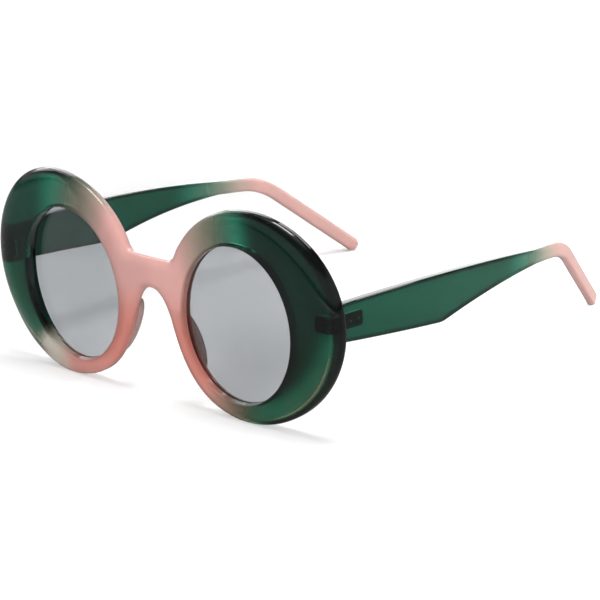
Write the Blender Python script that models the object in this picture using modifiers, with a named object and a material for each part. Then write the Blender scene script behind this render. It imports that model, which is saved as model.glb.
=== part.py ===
"""Oval sunglasses with round rims: a moulded front, two lenses, bonded nose pads, and two temples on
three-knuckle screw hinges. Metres, +Z up, wearer's left at +X, temples running back along +Y."""

import math

import bmesh
import bpy
from mathutils import Matrix, Vector

# Place of the whole object: its origin is on the table, under the middle of its box
front_plane_back = 0.0731
front_lean_degrees = 1.73

# Front: outline seen from ahead, u to the side and w up, in the plane of the front
rim_centre_u = 0.03673
rim_centre_w = 0.03068
rim_half_short = 0.03025
rim_half_long = 0.03132
rim_lean_degrees = 39.0
bridge_top = 0.0422
bridge_fillet = 0.0022
arch_top = 0.0328
arch_reach = 0.0101
nose_join_degrees = 293.8
nose_reach = 0.0230

# Lens opening: an upright ellipse whose top leans outwards
opening_centre_u = 0.0327
opening_centre_w = 0.0280
opening_half_width = 0.0198
opening_half_height = 0.0231
opening_lean_degrees = 4.9

# Front: its thickness, wrap and edges
front_wrap_radius = 1.35
rim_end_u = rim_centre_u + math.hypot(
    rim_half_short * math.cos(math.radians(rim_lean_degrees)),
    rim_half_long * math.sin(math.radians(rim_lean_degrees)),
)
front_wall = 0.0043
end_wall = 0.0069
wall_grows_from = 0.0280
bridge_scoop = 0.0011
bridge_scoop_reach = 0.0130
bridge_shoulder_width = 0.0032
crown_shoulder_width = 0.0058
end_shoulder_width = 0.0080
crown_shoulder_drop = 0.0020
end_shoulder_drop = 0.0050
opening_edge_round = 0.0005
opening_back_round = 0.0004
back_edge_round = 0.0012
nose_edge_round = 0.0018
shoulder_limit_share = 0.62

# Lenses and the groove that holds them
lens_thickness = 0.0012
lens_radius = 0.53
lens_inset_nose = 0.0020
lens_inset_end = 0.0032
lens_in_groove = 0.0008
groove_gap = 0.0003
groove_side_gap = 0.0002

# Nose pads, bonded behind the nose side of each rim
pad_height = 0.0175
pad_reach = 0.0040
pad_thickness = 0.0026
pad_centre_w = 0.0184
pad_centre_u = 0.0122
pad_lean_degrees = 23.0
pad_flare_degrees = 3.0
bond_gap = 0.0003

# Hinges: one pair of leaves a side, with knuckles on an upright screw inside the temple's inner face
hinge_inset = 0.002045
hinge_drop = 0.0059
knuckle_radius = 0.00125
knuckle_tall = 0.0015
knuckle_gap = 0.00012
screw_radius = 0.00060
screw_clearance = 0.00005
screw_head_radius = 0.00105
screw_head_tall = 0.0006
screw_head_gap = 0.0001
screw_slot_width = 0.0003
screw_slot_deep = 0.0003
swing_gap = 0.0003
leaf_thickness = 0.0009
leaf_tall = 0.0046
leaf_corner = 0.0008
neck_width = 0.0013
neck_share = 0.94
front_leaf_inner_reach = 0.0019
front_leaf_outer_reach = 0.0043
temple_leaf_tall = 0.0043
temple_leaf_front = 0.0007
temple_leaf_back = 0.0078
pocket_gap = 0.0003

# Rivets that fix the leaves
rivet_radius = 0.0004
rivet_clearance = 0.00008
rivet_head_radius = 0.00078
rivet_head_tall = 0.0004
rivet_head_gap = 0.00012
rivet_length = 0.0023
temple_rivet_length = 0.0018
front_rivet_pitch = 0.0022
front_rivet_out = 0.0027
temple_rivet_first = 0.0029
temple_rivet_pitch = 0.0031

# Temples: the blade bows out in plan, its upper edge is one long arc, and its lower edge has a corner
temple_thickness = 0.0029
temple_bow_out = 0.00054
temple_widest_x = rim_end_u + temple_bow_out
temple_widest_back = 0.0500
temple_bow_radius = 0.400
temple_top_height = 0.0390
temple_top_crest_back = 0.0120
temple_top_radius = 0.575
temple_butt_gap = 0.0003
blade_front_tall = 0.0112
blade_bottom_back = 0.0080
corner_back = 0.0478
corner_tall = 0.0154
corner_soften = 0.0014
neck_before_bend = 0.0180
neck_tall = 0.0105
arm_tall = 0.0044
bend_draw_in = 0.00665
bend_before_tip = 0.0324
bend_drop = 0.0101
bend_run = 0.0078
tip_draw_in = 0.0117
tip_back = 0.1454
tip_height = 0.0021
tip_round = 0.0022
blade_edge_round = 0.0007
arm_edge_round = 0.0012
bend_x = temple_widest_x - bend_draw_in
tip_x = bend_x - tip_draw_in
blade_front_x = temple_widest_x - (temple_widest_back - blade_bottom_back) ** 2 / (2 * temple_bow_radius)
hinge_u = blade_front_x - temple_thickness - hinge_inset
bend_back = tip_back - bend_before_tip
neck_back = bend_back - neck_before_bend
hinge_height = temple_top_height - hinge_drop
blade_bottom_height = temple_top_height - blade_front_tall
corner_height = temple_top_height - corner_tall
neck_bottom_height = temple_top_height - neck_tall
bend_height = temple_top_height - bend_drop

# Resolution
rim_steps = 44
nose_steps = 16
fillet_steps = 3
temple_blade_steps = 5
temple_neck_steps = 8
bend_steps = 6
halving_steps = 40
plane_shares = (0.3, 0.6)
lens_ring_shares = (0.36, 0.68, 1.0)
leg_shares = (0.25, 0.5, 0.75)
nose_side_share = 0.7
nose_turn_share = 2.0
nose_start_share = 0.6
nose_spread_share = 0.8
shoulder_angles = (0, 24, 44, 61, 76, 90)
corner_angles = (0, 30, 60, 90)
tip_angles = (25, 45, 62, 76, 86)
round_steps = 16
small_round_steps = 12
cut_overrun = 0.0010
weld = 0.00001

SIDES = {"left": 1, "right": -1}


def clear_scene():
    for obj in list(bpy.data.objects):
        bpy.data.objects.remove(obj)


def collection(name):
    made = bpy.data.collections.new(name)
    bpy.context.scene.collection.children.link(made)
    return made


def material(name, colour, roughness, metallic=0.0, alpha=1.0):
    made = bpy.data.materials.new(name)
    made.use_nodes = True
    shader = made.node_tree.nodes["Principled BSDF"]
    shader.inputs["Base Color"].default_value = (*colour, 1.0)
    shader.inputs["Roughness"].default_value = roughness
    shader.inputs["Metallic"].default_value = metallic
    shader.inputs["Alpha"].default_value = alpha
    return made


def add_object(name, bm, group, finish=None, parent=None, smooth_degrees=35.0):
    """A mesh object whose closed surface faces out, with round stretches shaded smooth."""
    bmesh.ops.recalc_face_normals(bm, faces=bm.faces)
    if bm.calc_volume(signed=True) < 0:
        bmesh.ops.reverse_faces(bm, faces=bm.faces)
    mesh = bpy.data.meshes.new(name)
    bm.to_mesh(mesh)
    bm.free()
    mesh.shade_smooth()
    mesh.set_sharp_from_angle(angle=math.radians(smooth_degrees))
    obj = bpy.data.objects.new(name, mesh)
    group.objects.link(obj)
    obj.parent = parent
    if finish:
        mesh.materials.append(finish)
    return obj


def helper(name, bm, parent=None):
    """A solid that only cuts or joins another."""
    obj = add_object(name, bm, helpers, parent=parent)
    obj.hide_render = True
    obj.display_type = "WIRE"
    return obj


def boolean(obj, tool, operation):
    modifier = obj.modifiers.new(f"{operation.lower()} {tool.name}", "BOOLEAN")
    modifier.operation = operation
    modifier.object = tool
    modifier.solver = "EXACT"


def box(low, high, corner=0.0, corner_axis=1):
    """A box between two corners, its edges along one axis rounded."""
    bm = bmesh.new()
    size = [b - a for a, b in zip(low, high)]
    middle = [(a + b) / 2 for a, b in zip(low, high)]
    bmesh.ops.create_cube(bm, size=1.0, matrix=Matrix.Translation(middle) @ Matrix.Diagonal((*size, 1.0)))
    if corner:
        edges = [e for e in bm.edges if abs((e.verts[0].co - e.verts[1].co)[corner_axis]) > corner / 2]
        bmesh.ops.bevel(bm, geom=edges, offset=corner, segments=3, affect="EDGES", profile=0.5)
    return bm


def cylinder(bm, radius, start, end, steps):
    """Adds a capped cylinder between two points to bm."""
    start = Vector(start)
    along = Vector(end) - start
    turn = along.to_track_quat("Z", "Y").to_matrix().to_4x4()
    place = Matrix.Translation(start + along / 2) @ turn
    bmesh.ops.create_cone(
        bm, cap_ends=True, segments=steps, radius1=radius, radius2=radius, depth=along.length, matrix=place
    )


def loft(rings, wrap=False, caps=True):
    """Quads between rings of points; wrap joins the last ring to the first, caps close the two ends."""
    bm = bmesh.new()
    rows = [[bm.verts.new(point) for point in ring] for ring in rings]
    pairs = list(zip(rows, rows[1:])) + ([(rows[-1], rows[0])] if wrap else [])
    for first, second in pairs:
        for i in range(len(first)):
            j = (i + 1) % len(first)
            bm.faces.new((first[i], first[j], second[j], second[i]))
    if caps and not wrap:
        bm.faces.new(list(reversed(rows[0])))
        bm.faces.new(rows[-1])
    return bm


# Front


def front_depth(u):
    """Depth of the front's face behind its plane: the front wraps round the face a little."""
    return u * u / (2 * front_wrap_radius)


def wall_at(u):
    """The front is thickest at the ends, where the hinges are, and scooped out behind the bridge."""
    grown = max(abs(u) - wall_grows_from, 0) / (rim_end_u - wall_grows_from)
    scoop = math.cos(math.pi / 2 * min(abs(u) / bridge_scoop_reach, 1.0)) ** 2
    return front_wall + (end_wall - front_wall) * grown**2 - bridge_scoop * scoop


def back_depth(u):
    return front_depth(u) + wall_at(u)


def lens_depth(u):
    """Depth of the lens's front face: a shallow arc between its nose and outer edges."""
    u = abs(u)
    inner = opening_centre_u - opening_half_width
    outer = opening_centre_u + opening_half_width
    at_inner = front_depth(inner) + lens_inset_nose
    at_outer = front_depth(outer) + lens_inset_end
    chord = at_inner + (at_outer - at_inner) * (u - inner) / (outer - inner)
    bow = (opening_half_width**2 - (u - opening_centre_u) ** 2) / (2 * lens_radius)
    return chord - bow


def opening_turn(u, w):
    """The opening's own angle for the direction of a point."""
    lean = math.radians(opening_lean_degrees)
    du = u - opening_centre_u
    dw = w - opening_centre_w
    across = du * math.cos(lean) - dw * math.sin(lean)
    up = du * math.sin(lean) + dw * math.cos(lean)
    return math.atan2(up / opening_half_height, across / opening_half_width)


def opening_point(turn, grow):
    """A point on the opening's ellipse, made larger all round by grow."""
    lean = math.radians(opening_lean_degrees)
    across = (opening_half_width + grow) * math.cos(turn)
    up = (opening_half_height + grow) * math.sin(turn)
    u = opening_centre_u + across * math.cos(lean) + up * math.sin(lean)
    w = opening_centre_w - across * math.sin(lean) + up * math.cos(lean)
    return u, w


def rim_point(turn):
    """A point on the rim's outline, an ellipse that leans a little."""
    lean = -math.radians(rim_lean_degrees)
    across = rim_half_short * math.cos(turn)
    up = rim_half_long * math.sin(turn)
    return Vector((
        rim_centre_u + across * math.cos(lean) - up * math.sin(lean),
        rim_centre_w + across * math.sin(lean) + up * math.cos(lean),
    ))


def rim_corner_turn():
    """Where the rim's ellipse meets the height of the bridge's top on the nose side."""
    low, high = math.radians(150), math.radians(270)
    for _ in range(halving_steps):
        middle = (low + high) / 2
        if rim_point(middle).y > bridge_top:
            low = middle
        else:
            high = middle
    return low


def half_outline():
    """The left half's outline, clockwise from the bridge's top: (u, w, outward normal, on plane)."""
    corner_turn = rim_corner_turn()
    corner = rim_point(corner_turn)
    leave_turn = corner_turn - bridge_fillet / rim_half_short
    path = [Vector((0.0, bridge_top)), Vector(((corner.x - bridge_fillet) / 2, bridge_top))]
    start = Vector((corner.x - bridge_fillet, bridge_top))
    leave = rim_point(leave_turn)
    for k in range(fillet_steps + 1):
        t = k / fillet_steps
        path.append(start * (1 - t) ** 2 + corner * (2 * t * (1 - t)) + leave * t * t)
    join_turn = math.radians(nose_join_degrees) - math.tau
    for k in range(1, rim_steps + 1):
        path.append(rim_point(leave_turn + (join_turn - leave_turn) * k / rim_steps))
    join = path[-1]
    along = (join - path[-2]).normalized() * nose_reach
    arch = Vector((0.0, arch_top))
    for k in range(1, nose_steps + 1):
        t = (k / nose_steps) ** nose_spread_share
        first = join * (1 - t) ** 3 + (join + along) * (3 * t * (1 - t) ** 2)
        path.append(first + (arch + Vector((arch_reach, 0.0))) * (3 * t * t * (1 - t)) + arch * t**3)
    points = []
    for index, point in enumerate(path):
        if index == 0:
            normal = (0.0, 1.0)
        elif index == len(path) - 1:
            normal = (0.0, -1.0)
        else:
            run = (path[index + 1] - path[index - 1]).normalized()
            normal = (-run.y, run.x)
        points.append((point.x, point.y, normal, False))
    for share in plane_shares:
        points.append((0.0, arch_top + (bridge_top - arch_top) * share, (0.0, 0.0), True))
    return points


def shoulder_at(u):
    """Width and depth of the soft shoulder between the face and the outer wall."""
    inner = min(abs(u) / rim_centre_u, 1.0)
    outer = max(abs(u) - rim_centre_u, 0.0) / (rim_end_u - rim_centre_u)
    width = bridge_shoulder_width + (crown_shoulder_width - bridge_shoulder_width) * inner
    width += (end_shoulder_width - crown_shoulder_width) * outer
    return width, crown_shoulder_drop + (end_shoulder_drop - crown_shoulder_drop) * outer


def nose_share(u, w, normal):
    """1 on the nose side of the rim, where the back edge is eased for the nose, and 0 elsewhere."""
    if w > rim_centre_w + rim_half_short * nose_side_share:
        return 0.0
    return max(0.0, min(1.0, -normal[0] * nose_turn_share - nose_start_share))


def front_section(u, w, normal, on_plane):
    """One closed section of the rim, from the groove out over the face and back: (u, depth, w)."""
    turn = opening_turn(u, w)
    near_u, near_w = opening_point(turn, 0.0)
    width = math.hypot(u - near_u, w - near_w)
    shoulder, drop = shoulder_at(u)
    if shoulder > width * shoulder_limit_share:
        drop *= width * shoulder_limit_share / shoulder
        shoulder = width * shoulder_limit_share
    ease = back_edge_round + (nose_edge_round - back_edge_round) * nose_share(u, w, normal)
    eased = opening_edge_round * (1 - math.cos(math.pi / 4))

    def at_opening(grow, depth_of, extra):
        point_u, point_w = opening_point(turn, grow)
        return point_u, depth_of(point_u) + extra, point_w

    def inset(distance):
        if on_plane:
            return 0.0, w
        return u - normal[0] * distance, w - normal[1] * distance

    section = [
        at_opening(lens_in_groove + groove_gap, lens_depth, -groove_side_gap),
        at_opening(0.0, lens_depth, -groove_side_gap),
        at_opening(0.0, front_depth, opening_edge_round),
        at_opening(eased, front_depth, eased),
        at_opening(opening_edge_round, front_depth, 0.0),
    ]
    for degrees in shoulder_angles:
        angle = math.radians(degrees)
        point_u, point_w = inset(shoulder * (1 - math.sin(angle)))
        section.append((point_u, front_depth(point_u) + drop * (1 - math.cos(angle)), point_w))
    for degrees in corner_angles:
        angle = math.radians(degrees)
        point_u, point_w = inset(ease * (1 - math.cos(angle)))
        section.append((point_u, back_depth(point_u) - ease * (1 - math.sin(angle)), point_w))
    section += [
        at_opening(opening_back_round, back_depth, 0.0),
        at_opening(0.0, back_depth, -opening_back_round),
        at_opening(0.0, lens_depth, lens_thickness + groove_side_gap),
        at_opening(lens_in_groove + groove_gap, lens_depth, lens_thickness + groove_side_gap),
    ]
    return section


def table_box():
    """Everything under the table's top, which flattens what the front rests on."""
    reach = rim_end_u * 2
    return (-reach, -reach, -reach), (reach, reach, 0.0)


def make_front():
    rings = [front_section(*point) for point in half_outline()]
    bm = loft(rings, wrap=True)
    middle = [f for f in bm.faces if all(abs(v.co.x) < weld for v in f.verts)]
    bmesh.ops.delete(bm, geom=middle, context="FACES")
    front = add_object("front_frame", bm, parts, green_plastic, front_empty)
    mirror = front.modifiers.new("mirror", "MIRROR")
    mirror.use_clip = True
    mirror.merge_threshold = weld
    boolean(front, table, "DIFFERENCE")
    for side, sign in SIDES.items():
        for tool in front_pocket_tools(side, sign):
            boolean(front, tool, "DIFFERENCE")
    return front


def make_lens(side, sign):
    """A thin shell on the lens's arc, cut to the opening's ellipse plus what the groove holds."""
    bm = bmesh.new()
    rows = []
    for share in lens_ring_shares:
        row = []
        for k in range(rim_steps):
            turn = math.tau * k / rim_steps
            u, w = opening_point(turn, lens_in_groove)
            u = opening_centre_u + (u - opening_centre_u) * share
            w = opening_centre_w + (w - opening_centre_w) * share
            row.append(bm.verts.new((sign * u, lens_depth(u), w)))
        rows.append(row)
    middle = bm.verts.new((sign * opening_centre_u, lens_depth(opening_centre_u), opening_centre_w))
    for k in range(rim_steps):
        j = (k + 1) % rim_steps
        bm.faces.new((middle, rows[0][k], rows[0][j]))
        for inner, outer in zip(rows, rows[1:]):
            bm.faces.new((inner[k], outer[k], outer[j], inner[j]))
    bmesh.ops.recalc_face_normals(bm, faces=bm.faces)
    if sum(f.normal.y for f in bm.faces) > 0:
        bmesh.ops.reverse_faces(bm, faces=bm.faces)
    mesh = bpy.data.meshes.new(f"lens_{side}")
    bm.to_mesh(mesh)
    bm.free()
    mesh.shade_smooth()
    mesh.materials.append(tinted_lens)
    obj = bpy.data.objects.new(f"lens_{side}", mesh)
    parts.objects.link(obj)
    obj.parent = front_empty
    solid = obj.modifiers.new("wall", "SOLIDIFY")
    solid.thickness = lens_thickness
    solid.offset = -1.0
    return obj


def make_nose_pad(side, sign):
    """Half of a slim ellipsoid, flat where it is bonded to the back of the rim."""
    bm = bmesh.new()
    bmesh.ops.create_uvsphere(bm, u_segments=18, v_segments=14, radius=1.0)
    bmesh.ops.rotate(bm, verts=bm.verts, matrix=Matrix.Rotation(math.pi / 2, 3, "X"))
    whole = bm.verts[:] + bm.edges[:] + bm.faces[:]
    cut = bmesh.ops.bisect_plane(bm, geom=whole, plane_co=(0, 0, 0), plane_no=(0, 1, 0), clear_inner=True)
    rim = [e for e in cut["geom_cut"] if isinstance(e, bmesh.types.BMEdge)]
    bmesh.ops.contextual_create(bm, geom=rim)
    bmesh.ops.scale(bm, verts=bm.verts, vec=(pad_thickness / 2, pad_reach, pad_height / 2))
    flare = math.tan(math.radians(pad_flare_degrees))
    lean = math.tan(math.radians(pad_lean_degrees))
    base = back_depth(pad_centre_u) + bond_gap
    for v in bm.verts:
        u = pad_centre_u + v.co.x + flare * v.co.y - lean * v.co.z
        v.co = Vector((sign * u, base + v.co.y, pad_centre_w + v.co.z))
    return add_object(f"nose_pad_{side}", bm, parts, pink_plastic, front_empty)


# Hinges, each from its own upright axis: X to the side, Y back, Z up from the middle of the knuckles


def hinge_depth():
    return back_depth(hinge_u + knuckle_radius) + swing_gap + knuckle_radius


def hinge_point(sign):
    """The middle of the hinge's axis, in world coordinates."""
    lean = math.radians(front_lean_degrees)
    depth = hinge_depth()
    back = depth * math.cos(lean) - hinge_height * math.sin(lean)
    up = depth * math.sin(lean) + hinge_height * math.cos(lean)
    return Vector((sign * hinge_u, back - front_plane_back, up))


def front_leaf_back():
    """How far before the axis the front leaf's back face is: just under the rim's back at its inner end."""
    return back_depth(hinge_u - front_leaf_inner_reach) - groove_side_gap / 2 - hinge_depth()


def knuckle_span(index):
    """Lowest and highest Z of the lower (0), middle (1) or upper (2) knuckle."""
    low = -1.5 * knuckle_tall - knuckle_gap + index * (knuckle_tall + knuckle_gap)
    return low, low + knuckle_tall


def front_rivet_places(sign):
    for level, up in (("upper", 1), ("lower", -1)):
        yield level, Vector((sign * front_rivet_out, front_leaf_back(), up * front_rivet_pitch / 2))


def mirrored_box(sign, low, high, corner=0.0, corner_axis=1):
    """A box on the left, or its mirror image on the right."""
    us = sorted((sign * low[0], sign * high[0]))
    return box((us[0], *low[1:]), (us[1], *high[1:]), corner, corner_axis)


def front_pocket_tools(side, sign):
    """Cutters for the front leaf's pocket and its rivets' holes."""
    back = front_leaf_back()
    floor = back - leaf_thickness - pocket_gap
    half_tall = leaf_tall / 2 + pocket_gap
    pocket = mirrored_box(
        sign,
        (-front_leaf_inner_reach - pocket_gap, floor, -half_tall),
        (front_leaf_outer_reach + pocket_gap, back + end_wall, half_tall),
        leaf_corner,
    )
    yield helper(f"front_pocket_{side}", pocket, hinge_empties[side])
    for level, head in front_rivet_places(sign):
        hole = bmesh.new()
        end = head + Vector((0, -rivet_length - rivet_clearance * 2, 0))
        cylinder(hole, rivet_radius + rivet_clearance, head, end, small_round_steps)
        yield helper(f"front_rivet_hole_{side}_{level}", hole, hinge_empties[side])


def make_rivet(name, head, inward, length, parent):
    """A flush rivet: the outer face of its head is at head, and its shank runs along inward."""
    bm = bmesh.new()
    cylinder(bm, rivet_radius, head + inward * (rivet_head_tall / 2), head + inward * length, small_round_steps)
    shank = helper(f"{name}_shank", bm, parent)
    bm = bmesh.new()
    cylinder(bm, rivet_head_radius, head, head + inward * rivet_head_tall, small_round_steps)
    rivet = add_object(name, bm, parts, steel, parent)
    boolean(rivet, shank, "UNION")
    return rivet


def rivet_hole_tools(name, head, inward, parent):
    """Cutters in a leaf: a hole for the shank and a counterbore for the head."""
    outside = head - inward * cut_overrun
    bm = bmesh.new()
    through = leaf_thickness + cut_overrun
    cylinder(bm, rivet_radius + rivet_clearance, outside, head + inward * through, small_round_steps)
    yield helper(f"{name}_hole", bm, parent)
    bm = bmesh.new()
    seat = rivet_head_tall + rivet_head_gap
    cylinder(bm, rivet_head_radius + rivet_clearance, outside, head + inward * seat, small_round_steps)
    yield helper(f"{name}_seat", bm, parent)


def make_front_leaf(side, sign):
    """The plate let into the rim's back, with the lower and upper knuckles."""
    name = f"front_hinge_leaf_{side}"
    parent = hinge_empties[side]
    back = front_leaf_back()
    plate = mirrored_box(
        sign,
        (-front_leaf_inner_reach, back - leaf_thickness, -leaf_tall / 2),
        (front_leaf_outer_reach, back, leaf_tall / 2),
        leaf_corner,
    )
    leaf = add_object(name, plate, parts, steel, parent)
    for index, level in ((0, "lower"), (2, "upper")):
        low, high = knuckle_span(index)
        ease = (high - low) * (1 - neck_share) / 2
        neck = box(
            (-neck_width / 2, back - leaf_thickness / 2, low + ease),
            (neck_width / 2, 0.0, high - ease),
        )
        boolean(leaf, helper(f"{name}_{level}_neck", neck, parent), "UNION")
        knuckle = bmesh.new()
        cylinder(knuckle, knuckle_radius, (0, 0, low), (0, 0, high), round_steps)
        boolean(leaf, helper(f"{name}_{level}_knuckle", knuckle, parent), "UNION")
    boolean(leaf, screw_bore(f"{name}_bore", parent), "DIFFERENCE")
    inward = Vector((0.0, -1.0, 0.0))
    for level, head in front_rivet_places(sign):
        rivet = f"front_rivet_{side}_{level}"
        for tool in rivet_hole_tools(rivet, head, inward, parent):
            boolean(leaf, tool, "DIFFERENCE")
        make_rivet(rivet, head, inward, rivet_length, parent)
    return leaf


def screw_bore(name, parent):
    bm = bmesh.new()
    low = knuckle_span(0)[0] - cut_overrun
    high = knuckle_span(2)[1] + cut_overrun
    cylinder(bm, screw_radius + screw_clearance, (0, 0, low), (0, 0, high), round_steps)
    return helper(name, bm, parent)


def make_hinge_screw(side):
    """The screw that is the hinge's pin, with a slotted head above the upper knuckle."""
    name = f"hinge_screw_{side}"
    parent = hinge_empties[side]
    seat = knuckle_span(2)[1] + screw_head_gap
    top = seat + screw_head_tall
    bm = bmesh.new()
    cylinder(bm, screw_head_radius, (0, 0, seat), (0, 0, top), round_steps)
    rim = [e for e in bm.edges if all(v.co.z > (seat + top) / 2 for v in e.verts)]
    bmesh.ops.bevel(bm, geom=rim, offset=screw_head_tall / 2, segments=2, affect="EDGES", profile=0.5)
    screw = add_object(name, bm, parts, steel, parent)
    bm = bmesh.new()
    cylinder(bm, screw_radius, (0, 0, knuckle_span(0)[0]), (0, 0, (seat + top) / 2), round_steps)
    boolean(screw, helper(f"{name}_shank", bm, parent), "UNION")
    reach = screw_head_radius + cut_overrun
    slot = box(
        (-reach, -screw_slot_width / 2, top - screw_slot_deep),
        (reach, screw_slot_width / 2, top + cut_overrun),
    )
    boolean(screw, helper(f"{name}_slot", slot, parent), "DIFFERENCE")
    return screw


# Temples, in the world's directions from a point on the table under the front's plane


def blade_outer_x(back):
    return temple_widest_x - (back - temple_widest_back) ** 2 / (2 * temple_bow_radius)


def blade_top(back):
    return temple_top_height - (back - temple_top_crest_back) ** 2 / (2 * temple_top_radius)


def blade_bottom(back):
    """Straight down to the corner, then up in a curve that levels out where the arm begins."""
    if back < corner_back:
        share = (back - blade_bottom_back) / (corner_back - blade_bottom_back)
        return blade_bottom_height + (corner_height - blade_bottom_height) * share
    share = min((back - corner_back) / (neck_back - corner_back), 1.0)
    return corner_height + (neck_bottom_height - corner_height) * (2 * share - share**2)


def rounded_section(middle, up, across, half_tall, half_thick, corner):
    """Sixteen points round a rectangle with round corners."""
    points = []
    for start, (sa, su) in zip((0, 90, 180, 270), ((1, 1), (-1, 1), (-1, -1), (1, -1))):
        for k in range(4):
            angle = math.radians(start + 30 * k)
            a = sa * (half_thick - corner) + corner * math.cos(angle)
            b = su * (half_tall - corner) + corner * math.sin(angle)
            points.append(middle + across * a + up * b)
    return points


def temple_stations():
    """Sections along the left temple: (middle, up, across, half height, half thickness, corner)."""
    half_thick = temple_thickness / 2
    stations = []
    soft = corner_soften
    reach = corner_back - soft - blade_bottom_back
    backs = [blade_bottom_back + reach * k / temple_blade_steps for k in range(temple_blade_steps + 1)]
    backs += [corner_back - soft / 3, corner_back + soft / 3]
    reach = neck_back - corner_back - soft
    backs += [corner_back + soft + reach * k / temple_neck_steps for k in range(temple_neck_steps + 1)]
    for back in backs:
        top = blade_top(back)
        bottom = blade_bottom(back)
        if abs(back - corner_back) < soft:
            bottom = corner_height + soft / 6
        slope = (back - temple_widest_back) / temple_bow_radius
        across = Vector((1.0, slope, 0.0)).normalized()
        middle = Vector((blade_outer_x(back), back, (top + bottom) / 2)) - across * half_thick
        half_tall = (top - bottom) / 2
        stations.append((middle, Vector((0, 0, 1)), across, half_tall, half_thick, blade_edge_round))
    begin = stations[-1][0]
    bend = Vector((bend_x, bend_back, bend_height))
    tip = Vector((tip_x, tip_back, tip_height))
    first = (bend - begin).normalized()
    second = (tip - bend).normalized()
    path = []
    enter = bend - first * bend_run
    leave = bend + second * bend_run
    path.append((begin + enter) / 2)
    for k in range(bend_steps + 1):
        t = k / bend_steps
        path.append(enter * (1 - t) ** 2 + bend * (2 * t * (1 - t)) + leave * t * t)
    for share in leg_shares:
        path.append(leave.lerp(tip, share))
    path.append(tip)
    sizes = [1.0] * len(path)
    for degrees in tip_angles:
        angle = math.radians(degrees)
        path.append(tip + second * (tip_round * math.sin(angle)))
        sizes.append(math.cos(angle))
    for index, point in enumerate(path):
        before = path[index - 1] if index else begin
        after = path[min(index + 1, len(path) - 1)]
        along = (after - before).normalized()
        across = along.cross(Vector((0, 0, 1))).normalized()
        up = across.cross(along).normalized()
        settle = min((index + 1) / 4, 1.0)
        edge = blade_edge_round + (arm_edge_round - blade_edge_round) * settle
        size = sizes[index]
        stations.append((point, up, across, arm_tall / 2 * size, half_thick * size, edge * size))
    return stations


def make_temple(side, sign):
    """The whole temple in one moulding: blade, bend and tip, with a pocket for its hinge leaf."""
    rings = [rounded_section(*station) for station in temple_stations()]
    lean = math.radians(front_lean_degrees)
    for index, point in enumerate(rings[0]):
        # the end face follows the rim's back at a small gap
        depth = back_depth(point.x) + temple_butt_gap
        rings[0][index] = Vector((point.x, (depth - point.z * math.sin(lean)) / math.cos(lean), point.z))
    foot = Vector((0.0, front_plane_back, 0.0)) + hinge_point(sign)
    bm = loft([[Vector((sign * p.x, p.y, p.z)) - foot for p in ring] for ring in rings])
    temple = add_object(f"temple_{side}", bm, parts, green_plastic, temple_empties[side])
    boolean(temple, table, "DIFFERENCE")
    half_tall = temple_leaf_tall / 2 + pocket_gap
    half_long = temple_leaf_back - temple_leaf_middle()
    pocket = box(
        (-cut_overrun, -half_long - cut_overrun * 2, -half_tall),
        (leaf_thickness + pocket_gap, half_long + pocket_gap, half_tall),
        leaf_corner, 0,
    )
    tool = helper(f"temple_pocket_{side}", on_temple_face(pocket, sign), temple_empties[side])
    boolean(temple, tool, "DIFFERENCE")
    for level, head, outward in temple_rivet_places(sign):
        hole = bmesh.new()
        start = head + outward * (leaf_thickness / 2)
        end = head + outward * (temple_rivet_length + rivet_clearance * 2)
        cylinder(hole, rivet_radius + rivet_clearance, start, end, small_round_steps)
        tool = helper(f"temple_rivet_hole_{side}_{level}", hole, temple_empties[side])
        boolean(temple, tool, "DIFFERENCE")
    return temple


def temple_leaf_middle():
    return (temple_leaf_back - temple_leaf_front) / 2


def leaf_frame():
    """The left leaf's place on its temple's inner face: X outwards, Y along the temple, Z up."""
    back = hinge_point(1).y + front_plane_back + temple_leaf_middle()
    across = Vector((1.0, (back - temple_widest_back) / temple_bow_radius, 0.0)).normalized()
    along = Vector((-across.y, across.x, 0.0))
    inner = blade_outer_x(back) - temple_thickness * across.x - hinge_u
    turn = Matrix((across, along, (0.0, 0.0, 1.0))).transposed().to_4x4()
    return Matrix.Translation((inner, temple_leaf_middle(), 0.0)) @ turn


def on_temple_face(bm, sign):
    """Moves a shape made at the leaf's own place to the left hinge, or to its mirror image on the right."""
    place = leaf_frame()
    for v in bm.verts:
        spot = place @ v.co
        v.co = Vector((sign * spot.x, spot.y, spot.z))
    return bm


def temple_rivet_places(sign):
    """The heads' places on the leaf and the way in."""
    place = leaf_frame()
    outward = Vector((sign * place[0][0], place[1][0], 0.0))
    for index, level in enumerate(("front", "back")):
        along = temple_rivet_first + index * temple_rivet_pitch - temple_leaf_middle()
        spot = place @ Vector((0.0, along, 0.0))
        yield level, Vector((sign * spot.x, spot.y, spot.z)), outward


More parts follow.
